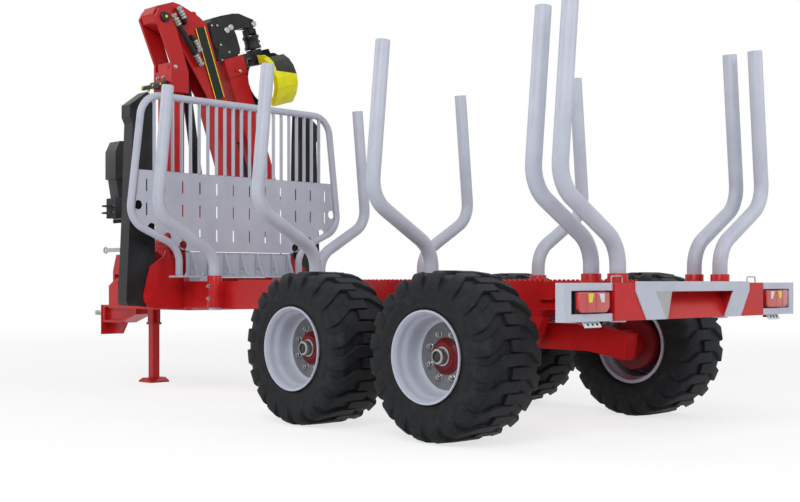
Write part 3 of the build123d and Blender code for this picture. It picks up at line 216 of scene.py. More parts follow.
def rubber(name):
    material = start_material(name)
    where = add(material, "ShaderNodeTexCoord")
    # Mould release and road dust show as soft patches about 60 mm across
    dust = add(
        material, "ShaderNodeTexNoise", {"Scale": 1 / 0.060, "Detail": 6.0, "Roughness": 0.62},
        [("Vector", where, "Object")],
    )
    patches = add(
        material, "ShaderNodeValToRGB",
        {"stops": ((0.38, RUBBER[0]), (0.55, RUBBER[1]), (0.78, RUBBER[2]))},
        [("Fac", dust, "Fac")],
    )
    # The mould's blasted skin, a grain of about 1 mm, drawn at 3 mm so that it shows
    grain = add(
        material, "ShaderNodeTexNoise", {"Scale": 1 / 0.003, "Detail": 2.0},
        [("Vector", where, "Object")],
    )
    skin = add(
        material, "ShaderNodeBump", {"Strength": 0.18, "Distance": 0.0006},
        [("Height", grain, "Fac")],
    )
    sheen = add(
        material, "ShaderNodeMapRange", {"To Min": 0.50, "To Max": 0.72},
        [("Value", dust, "Fac")],
    )
    body = add(
        material, "ShaderNodeBsdfPrincipled", {"IOR": 1.52, "Specular IOR Level": 0.14},
        [("Base Color", patches, "Color"), ("Roughness", sheen, "Result"), ("Normal", skin, "Normal")],
    )
    add(material, "ShaderNodeOutputMaterial", {}, [("Surface", body, "BSDF")])
    return material


def join_rings(shape, rings, slot_index=0):
    # Faces all round from each ring of corners to the next
    made = []
    for first, second in zip(rings, rings[1:]):
        for here in range(len(first)):
            there = (here + 1) % len(first)
            made.append(shape.faces.new((first[here], first[there], second[there], second[here])))
    for face in made:
        face.material_index = slot_index
    return made


def turned(shape, profile, steps, slot_index=0):
    # A body of revolution about the axle: profile is (across, radius) in mm
    rings = []
    for index in range(steps):
        angle = 2 * math.pi * index / steps
        rings.append([
            shape.verts.new((r / 1000 * math.cos(angle), y / 1000, r / 1000 * math.sin(angle)))
            for y, r in profile
        ])
    join_rings(shape, rings + rings[:1], slot_index)


def lug(shape, turn, side):
    # One lug, as a run of six-cornered rungs from the shoulder to past the middle
    rungs = []
    for base_y, base_r, top_y, top_r, shift, half in LUG_LINE:
        edge_y = top_y * (1 - EDGE_BACK) + base_y * EDGE_BACK
        edge_r = top_r - (top_r - base_r) * EDGE_DROP
        rung = []
        for offset, y, r in (
            (-half - LUG_FOOT, base_y, base_r),
            (-half - LUG_EDGE, edge_y, edge_r),
            (-half + LUG_TOP, top_y, top_r),
            (half - LUG_TOP, top_y, top_r),
            (half + LUG_EDGE, edge_y, edge_r),
            (half + LUG_FOOT, base_y, base_r),
        ):
            angle = turn - (shift + offset) / LUG_LINE_R
            corner = (r / 1000 * math.cos(angle), side * y / 1000, r / 1000 * math.sin(angle))
            rung.append(shape.verts.new(corner))
        rungs.append(rung)
    for first, second in zip(rungs, rungs[1:]):
        for spot in range(len(first) - 1):
            shape.faces.new((first[spot], first[spot + 1], second[spot + 1], second[spot]))
    shape.faces.new(rungs[0])
    shape.faces.new(list(reversed(rungs[-1])))


def finish_mesh(shape, name, materials, place=(0, 0, 0), mirrored=False, smooth=35):
    # The piece in the scene, with edges sharper than smooth degrees kept crisp
    if mirrored:
        for vertex in shape.verts:
            vertex.co.y = -vertex.co.y
    bmesh.ops.recalc_face_normals(shape, faces=shape.faces)
    mesh = bpy.data.meshes.new(name)
    shape.to_mesh(mesh)
    shape.free()
    for material in materials:
        mesh.materials.append(material)
    mesh.shade_smooth()
    piece = bpy.data.objects.new(name, mesh)
    piece.location = place
    bpy.context.scene.collection.objects.link(piece)
    mesh.set_sharp_from_angle(angle=math.radians(smooth))
    return piece


tyre_rubber = rubber("moulded_black_tyre_rubber")
for wheel, x, y, side in WHEEL_PLACES:
    shape = bmesh.new()
    turned(shape, CARCASS, CARCASS_STEPS)
    for index in range(LUG_COUNT):
        lug(shape, LUG_PHASE + 2 * math.pi * index / LUG_COUNT, 1)
        lug(shape, LUG_PHASE + 2 * math.pi * (index + 0.5) / LUG_COUNT, -1)
    tyre = finish_mesh(shape, "treaded_tyre_" + wheel, [tyre_rubber], (x, y, AXLE_HEIGHT), side < 0)
    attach(tyre, "wheel_" + wheel)
    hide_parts("tyre_" + wheel)

# Rims: deep dished steel rims, spun and welded, sprayed silver-grey. The disc sits far inside,
# so the outer half of the dish shows as a wide bowl.
SILVER = ("B0B3BE", "ABAEB9", "B5B8C2")
# The disc's darker grey is painted shade, for the shadow deep inside the dish
DISC_SHADE_GREY = ("6C6C70", "616165", "77777A")
RIM_BOWL = (
    # across, radius in mm, from the outer lip into the disc and back along the tyre side
    (250, 276), (249.5, 270), (246, 265), (240, 262), (232, 257), (222, 253), (206, 252), (192, 251),
    (180, 247), (166, 238), (152, 234), (140, 232.5), (100, 231), (80, 228), (70, 222), (64, 212),
    (62, 204), (62, 110.5), (48, 110.5), (48, 214), (44, 222), (-118, 232), (-136, 246), (-146, 252),
    (-190, 252), (-193, 256), (-193, 276), (-183, 277), (-179, 261.6), (-130, 261.6), (-110, 242),
    (130, 242), (160, 261.6), (217, 261.6), (233, 276), (243, 278.5), (249, 277.5),
)
RIM_STEPS = 120
RIM_CREASE = 28
DISC_INNER, DISC_OUTER = 0.047, 0.0625
DISC_R = 0.206


def enamel(name, colours, gloss):
    # Sprayed two-pack enamel on steel: even colour with faint clouds 180 mm across, and a gloss
    # broken by orange peel of about 3 mm
    material = start_material(name)
    where = add(material, "ShaderNodeTexCoord")
    cloud = add(
        material, "ShaderNodeTexNoise", {"Scale": 1 / 0.180, "Detail": 5.0, "Roughness": 0.6},
        [("Vector", where, "Object")],
    )
    tones = add(
        material, "ShaderNodeValToRGB",
        {"stops": ((0.32, colours[1]), (0.50, colours[0]), (0.72, colours[2]))},
        [("Fac", cloud, "Fac")],
    )
    peel = add(
        material, "ShaderNodeTexNoise", {"Scale": 1 / 0.003, "Detail": 2.0},
        [("Vector", where, "Object")],
    )
    skin = add(
        material, "ShaderNodeBump", {"Strength": 0.10, "Distance": 0.0004},
        [("Height", peel, "Fac")],
    )
    wear = add(
        material, "ShaderNodeMapRange", {"To Min": gloss - 0.05, "To Max": gloss + 0.10},
        [("Value", cloud, "Fac")],
    )
    body = add(
        material, "ShaderNodeBsdfPrincipled",
        {"Specular IOR Level": 0.22, "Coat Weight": 0.06, "Coat Roughness": 0.16},
        [("Base Color", tones, "Color"), ("Roughness", wear, "Result"), ("Normal", skin, "Normal")],
    )
    add(material, "ShaderNodeOutputMaterial", {}, [("Surface", body, "BSDF")])
    return material


silver_enamel = enamel("silver_grey_enamel_on_steel", SILVER, 0.34)
# Painted shade: the disc deep in the dish gets a darker grey than the bowl
disc_painted_shade_enamel = enamel("darker_grey_painted_shade_on_pressed_disc", DISC_SHADE_GREY, 0.40)
for wheel, x, y, side in WHEEL_PLACES:
    shape = bmesh.new()
    turned(shape, RIM_BOWL, RIM_STEPS)
    # The pressed disc deep in the bowl is a darker grey: painted shade for the deep dish
    for face in shape.faces:
        middle = face.calc_center_median()
        if DISC_INNER < middle.y < DISC_OUTER and math.hypot(middle.x, middle.z) < DISC_R:
            face.material_index = 1
    rim = finish_mesh(
        shape, "dished_rim_" + wheel, [silver_enamel, disc_painted_shade_enamel],
        (x, y, AXLE_HEIGHT), side < 0, RIM_CREASE,
    )
    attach(rim, "wheel_" + wheel)
    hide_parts("rim_" + wheel)

# Hubs: cast hubs sprayed dark red, closed by a pressed zinc-plated cap, with the wheel held by
# eight zinc-plated nuts on studs round the disc.
HUB_RED = ("6E1416", "5E0F12", "7C1A1B")
ZINC = ("A7A9A8", "8F9293", "B7B8B4")
GREASED_STEEL = ("35322E", "2C2A27", "403D38")
HUB_CASTING = (
    # across, radius, in mm
    (-175, 45.1), (-175, 118), (-162, 176), (-150, 184), (-100, 184), (20, 149), (47.6, 149),
    (47.6, 110.1), (66, 110.1), (70, 106), (74, 95), (92, 82), (93, 74), (93, 47), (130, 47),
    (130, 45.1),
)
HUB_CAP = (
    (93.5, 58), (99, 58), (100, 55), (101, 49), (136, 48.5), (143, 45.5), (146, 40), (146, 34),
    (136, 32), (93.5, 32),
)
CAP_CENTRE = (
    (93.5, 31.8), (134, 31.8), (136, 29), (136, 20), (139, 17), (139, 0.5), (93.5, 0.5),
)
HUB_STEPS, CENTRE_STEPS = 72, 48
STUD_COUNT = 8
STUD_CIRCLE = 0.1375
# A nut's width across flats and its height
WHEEL_NUT = (0.030, 0.022)
NUT_STAGES = (
    # washer, nut and bolt end: radius in widths, foot and top in heights, corners
    (0.72175, 0.00, 0.16, 18),
    (0.5774, 0.16, 1.00, 6),
    (0.30, 1.00, 1.35, 12),
)
NUT_CROWN, NUT_CHAMFER = 0.9, 0.07


def zinc_plate(name, colours):
    # Bright zinc with a fine crystalline bloom about 2 mm across
    material = start_material(name)
    where = add(material, "ShaderNodeTexCoord")
    bloom = add(
        material, "ShaderNodeTexNoise", {"Scale": 1 / 0.002, "Detail": 3.0},
        [("Vector", where, "Object")],
    )
    tones = add(
        material, "ShaderNodeValToRGB", {"stops": ((0.35, colours[1]), (0.68, colours[2]))},
        [("Fac", bloom, "Fac")],
    )
    satin = add(
        material, "ShaderNodeMapRange", {"To Min": 0.26, "To Max": 0.44},
        [("Value", bloom, "Fac")],
    )
    body = add(
        material, "ShaderNodeBsdfPrincipled", {"Metallic": 1.0},
        [("Base Color", tones, "Color"), ("Roughness", satin, "Result")],
    )
    add(material, "ShaderNodeOutputMaterial", {}, [("Surface", body, "BSDF")])
    return material


def circle(centre, side, up, radius, count):
    # The corners of a ring about a centre, in the plane of two unit vectors
    corners = []
    for index in range(count):
        angle = 2 * math.pi * index / count
        corners.append(centre + (side * math.cos(angle) + up * math.sin(angle)) * radius)
    return corners


def solid_bar(shape, rings, slot_index=0):
    # A solid through rings of corners, closed at both ends
    rings = [[shape.verts.new(corner) for corner in ring] for ring in rings]
    made = join_rings(shape, rings, slot_index)
    for end in (rings[0], list(reversed(rings[-1]))):
        face = shape.faces.new(end)
        face.material_index = slot_index
        made.append(face)
    return rings, made


def nut(shape, centre, axis, size, slot_index=0):
    # A six-sided nut with a round washer and the end of its bolt, standing along axis
    flat, height = size
    outward = Vector(axis).normalized()
    side = outward.orthogonal().normalized()
    up = outward.cross(side)
    for wide, foot, top, count in NUT_STAGES:
        solid_bar(shape, [
            circle(Vector(centre) + outward * rise * height, side, up, flat * radius, count)
            for radius, rise in ((wide, foot), (wide, top - NUT_CHAMFER), (wide * NUT_CROWN, top))
        ], slot_index)


hub_enamel = enamel("dark_red_enamel_on_cast_iron", HUB_RED, 0.42)
bright_zinc = zinc_plate("bright_zinc_plate", ZINC)
hub_centre = enamel("greased_dark_steel_cap_centre", GREASED_STEEL, 0.45)
for wheel, x, y, side in WHEEL_PLACES:
    shape = bmesh.new()
    turned(shape, HUB_CASTING, HUB_STEPS)
    turned(shape, HUB_CAP, HUB_STEPS, 1)
    for index in range(STUD_COUNT):
        angle = 2 * math.pi * (index + 0.5) / STUD_COUNT
        stud = (STUD_CIRCLE * math.cos(angle), DISC_OUTER, STUD_CIRCLE * math.sin(angle))
        nut(shape, stud, (0, 1, 0), WHEEL_NUT, 1)
    turned(shape, CAP_CENTRE, CENTRE_STEPS, 2)
    hub = finish_mesh(
        shape, "hub_with_cap_" + wheel, [hub_enamel, bright_zinc, hub_centre],
        (x, y, AXLE_HEIGHT), side < 0,
    )
    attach(hub, "wheel_" + wheel)
    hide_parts("hub_" + wheel)

# Bogies: each side's two wheels sit on a rocking beam welded from plate, hung on a shaft that
# crosses the trailer between two hangers. All of it is sprayed red after welding.
RED = ("B21A1C", "AA1719", "BA1E20")
SHARPEST_ROUNDED = math.radians(32)


def dress(node, material, round_mm):
    # The CAD solid keeps its mesh; its sharp edges are broken as a welder's grinder leaves them
    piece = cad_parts[node]
    piece.data.materials.clear()
    piece.data.materials.append(material)
    if round_mm:
        weld = piece.modifiers.new("closed_corners", "WELD")
        weld.merge_threshold = 0.00003
        edges = piece.modifiers.new("broken_edges", "BEVEL")
        edges.width = round_mm / 1000
        edges.segments = 2
        edges.limit_method = "ANGLE"
        edges.angle_limit = SHARPEST_ROUNDED
        edges.use_clamp_overlap = True
        edges.harden_normals = True


red_enamel = enamel("red_enamel_on_welded_plate", RED, 0.30)
for node in ("bogie_left", "bogie_right", "bogie_pivot"):
    dress(node, red_enamel, 3.0)

# Frame: two box beams with a toothed strip along the outer top edge, joined by cross members,
# with a round socket at each stake. Sprayed red; a pinch bolt stops each stake from turning.
STAKE_X = (0.653, -0.606, -1.783, -3.077, -3.263)
SOCKET_FACE = 0.6205
PINCH_HEIGHTS = (0.815, 0.915)
M16_NUT = (0.024, 0.015)
dress("frame", red_enamel, 2.5)
shape = bmesh.new()
for x in STAKE_X:
    for side in (-1, 1):
        for z in PINCH_HEIGHTS:
            nut(shape, (x, side * SOCKET_FACE, z), (0, side, 0), M16_NUT)
pinch_bolts = finish_mesh(shape, "stake_pinch_bolts", [bright_zinc])
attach(pinch_bolts, "trailer")

# Stakes: steel tube bent cold into an S, closed at the top by a welded disc, and sprayed
# silver-grey. They drop into the frame's sockets.
for node in ("stakes_left", "stakes_right"):
    dress(node, silver_enamel, 2.0)

# Headboard: a bent tube loop with flat bars above a slotted plate, on a folded foot with
# gussets. Sprayed silver-grey, and bolted to the frame through the foot.
PLATE_X = (1.0392, 1.0468)
PLATE_HALF = (
    # across, height, up one side of the plate
    (0.560, 1.205), (0.700, 1.272), (0.960, 1.372), (1.060, 1.480), (1.060, 1.560), (1.025, 1.857),
)
SLOT_PITCH, SLOT_WIDE, SLOT_TALL = 0.173, 0.016, 0.104
SLOT_ROWS = (
    # height, slots in the row
    (1.735, 12), (1.540, 12), (1.341, 8),
)
SLOT_END_POINTS = 10
EDGE_HOLES = ((1.030, 1.572), (0.905, 1.392), (0.755, 1.318), (0.600, 1.255))
EDGE_HOLE_R = 0.038
EDGE_HOLE_POINTS = 28
FOOT_BOLT_X, FOOT_TOP = 0.938, 1.003
FOOT_BOLT_COUNT, FOOT_BOLT_PITCH = 9, 0.160


def slot_outline(y, z):
    # A punched slot with round ends about (y, z): the upper end, then its mirror image below
    radius = SLOT_WIDE / 2
    end = []
    for turn in range(SLOT_END_POINTS):
        angle = math.pi * turn / (SLOT_END_POINTS - 1)
        end.append((y + radius * math.cos(angle), z + SLOT_TALL / 2 - radius + radius * math.sin(angle)))
    return end + [(2 * y - across, 2 * z - up) for across, up in end]


def hole_outline(y, z):
    # A round hole at the plate's edge, partly behind the tube of the loop
    points = []
    for turn in range(EDGE_HOLE_POINTS):
        angle = 2 * math.pi * turn / EDGE_HOLE_POINTS
        points.append((y + EDGE_HOLE_R * math.cos(angle), z + EDGE_HOLE_R * math.sin(angle)))
    return points


dress("headboard_frame", silver_enamel, 0)
loops = [list(PLATE_HALF) + [(-y, z) for y, z in reversed(PLATE_HALF)]]
for row_z, columns in SLOT_ROWS:
    for column in range(columns):
        loops.append(slot_outline((column - (columns - 1) / 2) * SLOT_PITCH, row_z))
for y, z in EDGE_HOLES:
    for side in (-1, 1):
        loops.append(hole_outline(side * y, z))
# One face cut out round its slots and holes, once for each side of the plate
shape = bmesh.new()
sheets = [[[shape.verts.new((x, y, z)) for y, z in loop] for loop in loops] for x in PLATE_X]
corners = [[corner for loop in sheet for corner in loop] for sheet in sheets]
for face in tessellate_polygon([[Vector((y, z, 0.0)) for y, z in loop] for loop in loops]):
    for sheet in corners:
        shape.faces.new([sheet[index] for index in face])
for rear_loop, front_loop in zip(*sheets):
    join_rings(shape, [rear_loop, front_loop])
slotted = finish_mesh(shape, "slotted_headboard_plate", [silver_enamel], smooth=30)
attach(slotted, "trailer")
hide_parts("headboard_plate")
dress("headboard_foot", silver_enamel, 1.5)
shape = bmesh.new()
for index in range(FOOT_BOLT_COUNT):
    y = (index - (FOOT_BOLT_COUNT - 1) / 2) * FOOT_BOLT_PITCH
    nut(shape, (FOOT_BOLT_X, y, FOOT_TOP), (0, 0, 1), M16_NUT)
foot_bolts = finish_mesh(shape, "headboard_foot_bolts", [bright_zinc])
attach(foot_bolts, "trailer")

# Rear bumper: a folded box across the frame, sprayed red, with pale trim plates on its face
# and a recess pressed into the middle, whose floor slopes out to the face at the bottom.
WARM_GREY = ("A3A19F", "9D9C9A", "A8A6A3")
BUMPER_REAR, BUMPER_FRONT = -3.426, -3.3293
BUMPER_HALF, BUMPER_LOW, BUMPER_HIGH = 0.820, 0.737, 0.947
RECESS_TOP_HALF, RECESS_TOP = 0.438, 0.897
RECESS_LOW_HALF, RECESS_LOW = 0.334, 0.7445
RECESS_DEEP, RECESS_DROP, RECESS_TAPER = 0.086, 0.003, 0.985
TRIM_REAR, TRIM_FRONT = -3.4337, -3.4300
TRIM_FOLD = ((0.425, 0.8965), (0.262, 0.8965), (0.306, 0.7380), (0.330, 0.7375))


def slab(shape, outline, near, far, slot_index=0, axis=0, round_by=0.0):
    # A plate cut to an outline and standing from near to far along one axis
    rings = []
    for depth in (near, far):
        ring = [[first, second] for first, second in outline]
        for corner in ring:
            corner.insert(axis, depth)
        rings.append(ring)
    (_, upper), made = solid_bar(shape, rings, slot_index)
    if round_by:
        rim = [line for line in shape.edges if line.verts[0] in upper and line.verts[1] in upper]
        bmesh.ops.recalc_face_normals(shape, faces=made)
        done = bmesh.ops.bevel(
            shape, geom=rim, offset=round_by, segments=3, affect="EDGES", profile=0.5,
        )
        for face in done["faces"]:
            face.material_index = slot_index


def corners_at(shape, x, half_low, low, half_high, high):
    # Four corners across the trailer at x, from the lower right round to the upper right
    places = ((-half_low, low), (half_low, low), (half_high, high), (-half_high, high))
    return [shape.verts.new((x, y, z)) for y, z in places]


shape = bmesh.new()
front = corners_at(shape, BUMPER_FRONT, BUMPER_HALF, BUMPER_LOW, BUMPER_HALF, BUMPER_HIGH)
rear = corners_at(shape, BUMPER_REAR, BUMPER_HALF, BUMPER_LOW, BUMPER_HALF, BUMPER_HIGH)
mouth = corners_at(shape, BUMPER_REAR, RECESS_LOW_HALF, RECESS_LOW, RECESS_TOP_HALF, RECESS_TOP)
deep = [
    shape.verts.new((BUMPER_REAR + RECESS_DEEP, corner.co.y * RECESS_TAPER, RECESS_TOP - RECESS_DROP))
    for corner in mouth[2:]
]
join_rings(shape, [front, rear, mouth])
shape.faces.new(front)
shape.faces.new((mouth[0], mouth[1], deep[0], deep[1]))
shape.faces.new((mouth[2], mouth[3], deep[1], deep[0]))
shape.faces.new((mouth[1], mouth[2], deep[0]))
shape.faces.new((mouth[3], mouth[0], deep[1]))
bumper = finish_mesh(shape, "folded_rear_bumper", [red_enamel], smooth=20)
edges = bumper.modifiers.new("broken_edges", "BEVEL")
edges.width = 0.003
edges.segments = 2
edges.limit_method = "ANGLE"
edges.harden_normals = True
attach(bumper, "trailer")
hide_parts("bumper")
dress("bumper_trim", silver_enamel, 1.2)
trim_enamel = enamel("warm_grey_enamel_on_trim", WARM_GREY, 0.40)
shape = bmesh.new()
slab(shape, TRIM_FOLD, TRIM_REAR, TRIM_FRONT)
trim_fold = finish_mesh(shape, "bumper_trim_fold", [trim_enamel], smooth=20)
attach(trim_fold, "trailer")

# Lamps: C-shaped guards of folded plate round two red lamps. Each lamp is a black housing with
# one moulded lens, ribbed inside, that has two wedge reflectors and two dark seams in it. A
# number-plate light hangs under each guard on a red bracket.
# The lighter red is a painted highlight: the glint of the prisms inside the lens
LENS_RED, LENS_PAINTED_GLINT = "A5141B", "E84A40"
HOUSING_BLACK = ("17181A", "232427")
REFLEX_YELLOW = ("C9C13A", "D6CE48")
REFLEX_CLEAR = ("BFC5C6", "CDD3D4")
# Shapes for the left side: two opposite corners, or an outline as (y, z)
HOUSING = ((-3.405, 0.8625, 0.7855), (-3.3655, 1.1495, 0.8995))
LENS_EDGE = (
    (0.868, 0.896), (0.866, 0.812), (0.890, 0.788), (1.118, 0.788), (1.144, 0.806), (1.146, 0.890),
    (1.138, 0.897),
)
LENS_BACK, LENS_FACE = -3.404, -3.4262
WEDGES = (
    # slot, outline
    (2, ((1.062, 0.890), (1.014, 0.890), (1.028, 0.842), (1.056, 0.842))),
    (3, ((0.966, 0.890), (0.917, 0.890), (0.917, 0.842), (0.943, 0.842))),
)
WEDGE_BACK, WEDGE_FACE = -3.4255, -3.4277
SEAMS, SEAM_WIDE = (0.988, 1.075), 0.0016
SEAM_LOW, SEAM_HIGH, SEAM_FACE = 0.792, 0.892, -3.4267
PLATE_LIGHT_ENDS = (0.922, 1.070)
PLATE_LIGHT_STRIP = ((-3.395, 0.7365), (-3.4125, 0.7080), (-3.4070, 0.7050), (-3.3890, 0.7335))
BULB_PLACES, BULB_R = (0.955, 0.996, 1.037), 0.007
BULB_BACK, BULB_FACE = (-3.4030, 0.7205), (-3.4075, 0.7232)
BRACKET = ((-3.3900, 0.932, 0.7200), (-3.3600, 1.060, 0.7370))


def lens(name, colour, painted_glint):
    # Moulded acrylic: saturated and glossy, with a grid of small prisms inside, whose glints are painted
    # highlights, a lighter red on the grid. A wave's bands repeat every pi/10 of the scaled length, here
    # every 5.65 mm.
    material = start_material(name)
    where = add(material, "ShaderNodeTexCoord")
    across, upward = [
        add(
            material, "ShaderNodeTexWave",
            {"wave_type": "BANDS", "bands_direction": way, "Scale": math.pi / 10 / 0.0056549},
            [("Vector", where, "Object")],
        )
        for way in "YZ"
    ]
    grid = add(
        material, "ShaderNodeMath", {"operation": "MULTIPLY"},
        [(0, across, "Fac"), (1, upward, "Fac")],
    )
    # Painted highlight: the grid's bands turn the lighter red where the prisms glint
    tones = add(
        material, "ShaderNodeValToRGB", {"stops": ((0.05, colour), (0.95, painted_glint))},
        [("Fac", grid, "Value")],
    )
    prisms = add(
        material, "ShaderNodeBump", {"Strength": 0.5, "Distance": 0.0012},
        [("Height", grid, "Value")],
    )
    body = add(
        material, "ShaderNodeBsdfPrincipled", {"Roughness": 0.12, "IOR": 1.49, "Coat Weight": 0.6},
        [("Base Color", tones, "Color"), ("Normal", prisms, "Normal")],
    )
    add(material, "ShaderNodeOutputMaterial", {}, [("Surface", body, "BSDF")])
    return material


def plastic(name, colours, grain=0.0015):
    # Moulded plastic or rubber: clouds 80 mm across, and a fine leathery grain given in metres
    material = start_material(name)
    where = add(material, "ShaderNodeTexCoord")
    speckle = add(
        material, "ShaderNodeTexNoise", {"Scale": 1 / grain, "Detail": 3.0},
        [("Vector", where, "Object")],
    )
    cloud = add(
        material, "ShaderNodeTexNoise", {"Scale": 1 / 0.080, "Detail": 4.0},
        [("Vector", where, "Object")],
    )
    tones = add(
        material, "ShaderNodeMixRGB", {"Color1": linear(colours[0]), "Color2": linear(colours[1])},
        [("Fac", cloud, "Fac")],
    )
    skin = add(
        material, "ShaderNodeBump", {"Strength": 0.15, "Distance": 0.0003},
        [("Height", speckle, "Fac")],
    )
    sheen = add(
        material, "ShaderNodeMapRange", {"To Min": 0.36, "To Max": 0.58},
        [("Value", cloud, "Fac")],
    )
    body = add(
        material, "ShaderNodeBsdfPrincipled", {"Specular IOR Level": 0.2},
        [("Base Color", tones, "Color"), ("Roughness", sheen, "Result"), ("Normal", skin, "Normal")],
    )
    add(material, "ShaderNodeOutputMaterial", {}, [("Surface", body, "BSDF")])
    return material


def box(shape, low, high, slot_index=0, round_by=0.0):
    # A block with broken edges, given by two opposite corners
    ends = [sorted(pair) for pair in zip(low, high)]
    before = set(shape.verts)
    bmesh.ops.create_cube(shape, size=1.0)
    fresh = [vertex for vertex in shape.verts if vertex not in before]
    for vertex in fresh:
        for axis in range(3):
            vertex.co[axis] = ends[axis][0 if vertex.co[axis] < 0 else 1]
    for face in shape.faces:
        if face.verts[0] in fresh:
            face.material_index = slot_index
    if round_by:
        lines = [line for line in shape.edges if line.verts[0] in fresh]
        done = bmesh.ops.bevel(
            shape, geom=lines, offset=round_by, segments=2, affect="EDGES", profile=0.5,
        )
        for face in done["faces"]:
            face.material_index = slot_index


def rod(shape, start, end, radius, slot_index=0, count=20, chamfer=0.12):
    # A turned bar with chamfered ends between two points
    start, end = Vector(start), Vector(end)
    along = (end - start).normalized()
    side = along.orthogonal().normalized()
    up = along.cross(side)
    cut = min(radius * chamfer, (end - start).length * 0.3)
    solid_bar(shape, [
        circle(centre, side, up, r, count)
        for centre, r in (
            (start, radius - cut), (start + along * cut, radius),
            (end - along * cut, radius), (end, radius - cut),
        )
    ], slot_index)


def on_side(side, corners):
    # Corners given for the left side, on the side asked for: 1 is left and -1 right
    return [(x, side * y, z) for x, y, z in corners]


dress("lamp_frames", silver_enamel, 2.0)
housing = plastic("black_moulded_lamp_housing", HOUSING_BLACK)
red_lens = lens("red_ribbed_lens", LENS_RED, LENS_PAINTED_GLINT)
amber = plastic("amber_reflex_reflector", REFLEX_YELLOW, 0.002)
clear = plastic("clear_reflex_reflector", REFLEX_CLEAR, 0.002)
for side, name in ((1, "left"), (-1, "right")):
    shape = bmesh.new()
    box(shape, *on_side(side, HOUSING), 0, 0.004)
    slab(shape, [(side * y, z) for y, z in LENS_EDGE], LENS_BACK, LENS_FACE, 1, 0, 0.006)
    for kind, wedge in WEDGES:
        slab(shape, [(side * y, z) for y, z in wedge], WEDGE_BACK, WEDGE_FACE, kind)
    for y in SEAMS:
        seam = ((SEAM_FACE, y, SEAM_LOW), (WEDGE_BACK, y + SEAM_WIDE, SEAM_HIGH))
        box(shape, *on_side(side, seam))
    lamp_piece = finish_mesh(shape, "tail_lamp_" + name, [housing, red_lens, amber, clear])
    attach(lamp_piece, "trailer")
    if side > 0:
        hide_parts("lamps")
    # Number-plate light: a tilted clear strip with three dark bulbs showing on it
    shape = bmesh.new()
    inner, outer = sorted(side * y for y in PLATE_LIGHT_ENDS)
    slab(shape, PLATE_LIGHT_STRIP, inner, outer, 0, 1)
    for y in BULB_PLACES:
        back, face = [(x, side * y, z) for x, z in (BULB_BACK, BULB_FACE)]
        rod(shape, back, face, BULB_R, 1, 12)
    box(shape, *on_side(side, BRACKET), 2, 0.002)
    plate_light = finish_mesh(shape, "plate_light_" + name, [clear, housing, red_enamel])
    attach(plate_light, "trailer")

# Step and cable loops: a folded step welded to the rear of the left beam, and a bent wire
# loop beside each lamp that guards the cable.
BEAM_FACE = 0.5003
STEP_PLATES = (
    # how far out, outline as (x, z): tread with its lip, gusset, foot plate
    (0.582, (
        (-2.684, 0.852), (-2.803, 0.852), (-2.836, 0.872), (-2.836, 0.866), (-2.803, 0.844), (-2.684, 0.844),
    )),
    (0.556, ((-2.698, 0.845), (-2.794, 0.845), (-2.820, 0.790), (-2.704, 0.790))),
    (0.590, ((-2.692, 0.792), (-2.828, 0.792), (-2.828, 0.782), (-2.692, 0.782))),
)
CABLE_LOOP = (
    (-3.382, 0.690, 0.9465), (-3.382, 0.690, 0.984), (-3.382, 0.792, 0.984), (-3.382, 0.792, 0.9465),
)
LOOP_BEND, LOOP_WIRE_R = 0.012, 0.004


def hose(shape, points, radius, slot_index=0, count=14):
    # A round tube swept along points, with its rings held square to the route
    route = [Vector(point) for point in points]
    rings = []
    side = (route[1] - route[0]).orthogonal().normalized()
    for index, spot in enumerate(route):
        along = (route[min(index + 1, len(route) - 1)] - route[max(index - 1, 0)]).normalized()
        side = (side - along * side.dot(along)).normalized()
        rings.append(circle(spot, side, along.cross(side), radius, count))
    solid_bar(shape, rings, slot_index)


def arc_route(corners, radius, steps=6):
    # The corners of a bent tube, each rounded as a bender leaves it
    points = [Vector(corners[0])]
    for before, corner, after in zip(corners, corners[1:], corners[2:]):
        corner = Vector(corner)
        start = corner + (Vector(before) - corner).normalized() * radius
        end = corner + (Vector(after) - corner).normalized() * radius
        for index in range(steps + 1):
            share = index / steps
            points.append(start * (1 - share) ** 2 + corner * 2 * share * (1 - share) + end * share ** 2)
    points.append(Vector(corners[-1]))
    return points


shape = bmesh.new()
for reach, outline in STEP_PLATES:
    slab(shape, outline, BEAM_FACE, reach, 0, 1)
step = finish_mesh(shape, "folded_beam_step", [red_enamel], smooth=20)
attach(step, "trailer")
shape = bmesh.new()
for side in (-1, 1):
    hose(shape, arc_route(on_side(side, CABLE_LOOP), LOOP_BEND), LOOP_WIRE_R, 0, 10)
wire_loops = finish_mesh(shape, "cable_guard_loops", [bright_zinc])
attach(wire_loops, "trailer")

# Crane base, stabiliser brackets, drawbar and hose stand: plate weldments sprayed red, bolted
# to the front of the frame. The slewing housing is held down by a ring of bolts.
COLUMN_X = 2.124
RAIL_UNDER = 1.232
HOUSING_BOLTS, HOUSING_BOLT_R, HOUSING_FLANGE = 16, 0.190, 1.007
DRAWBAR_FLANGE = 3.2348
DRAWBAR_BOLT_Y, DRAWBAR_BOLT_Z = (-0.055, 0.055), (0.583, 0.697)
M12_NUT = (0.019, 0.012)


def overspray(material, mask, coat):
    # A second coat over the enamel's own colour, where the mask is 1
    body = next(node for node in material.node_tree.nodes if node.type == "BSDF_PRINCIPLED")
    first = body.inputs["Base Color"].links[0].from_node
    colour = add(
        material, "ShaderNodeMixRGB", {},
        [("Fac", mask, "Value"), ("Color1", first, "Color"), ("Color2", coat, "Color")],
    )
    material.node_tree.links.new(colour.outputs["Color"], body.inputs["Base Color"])


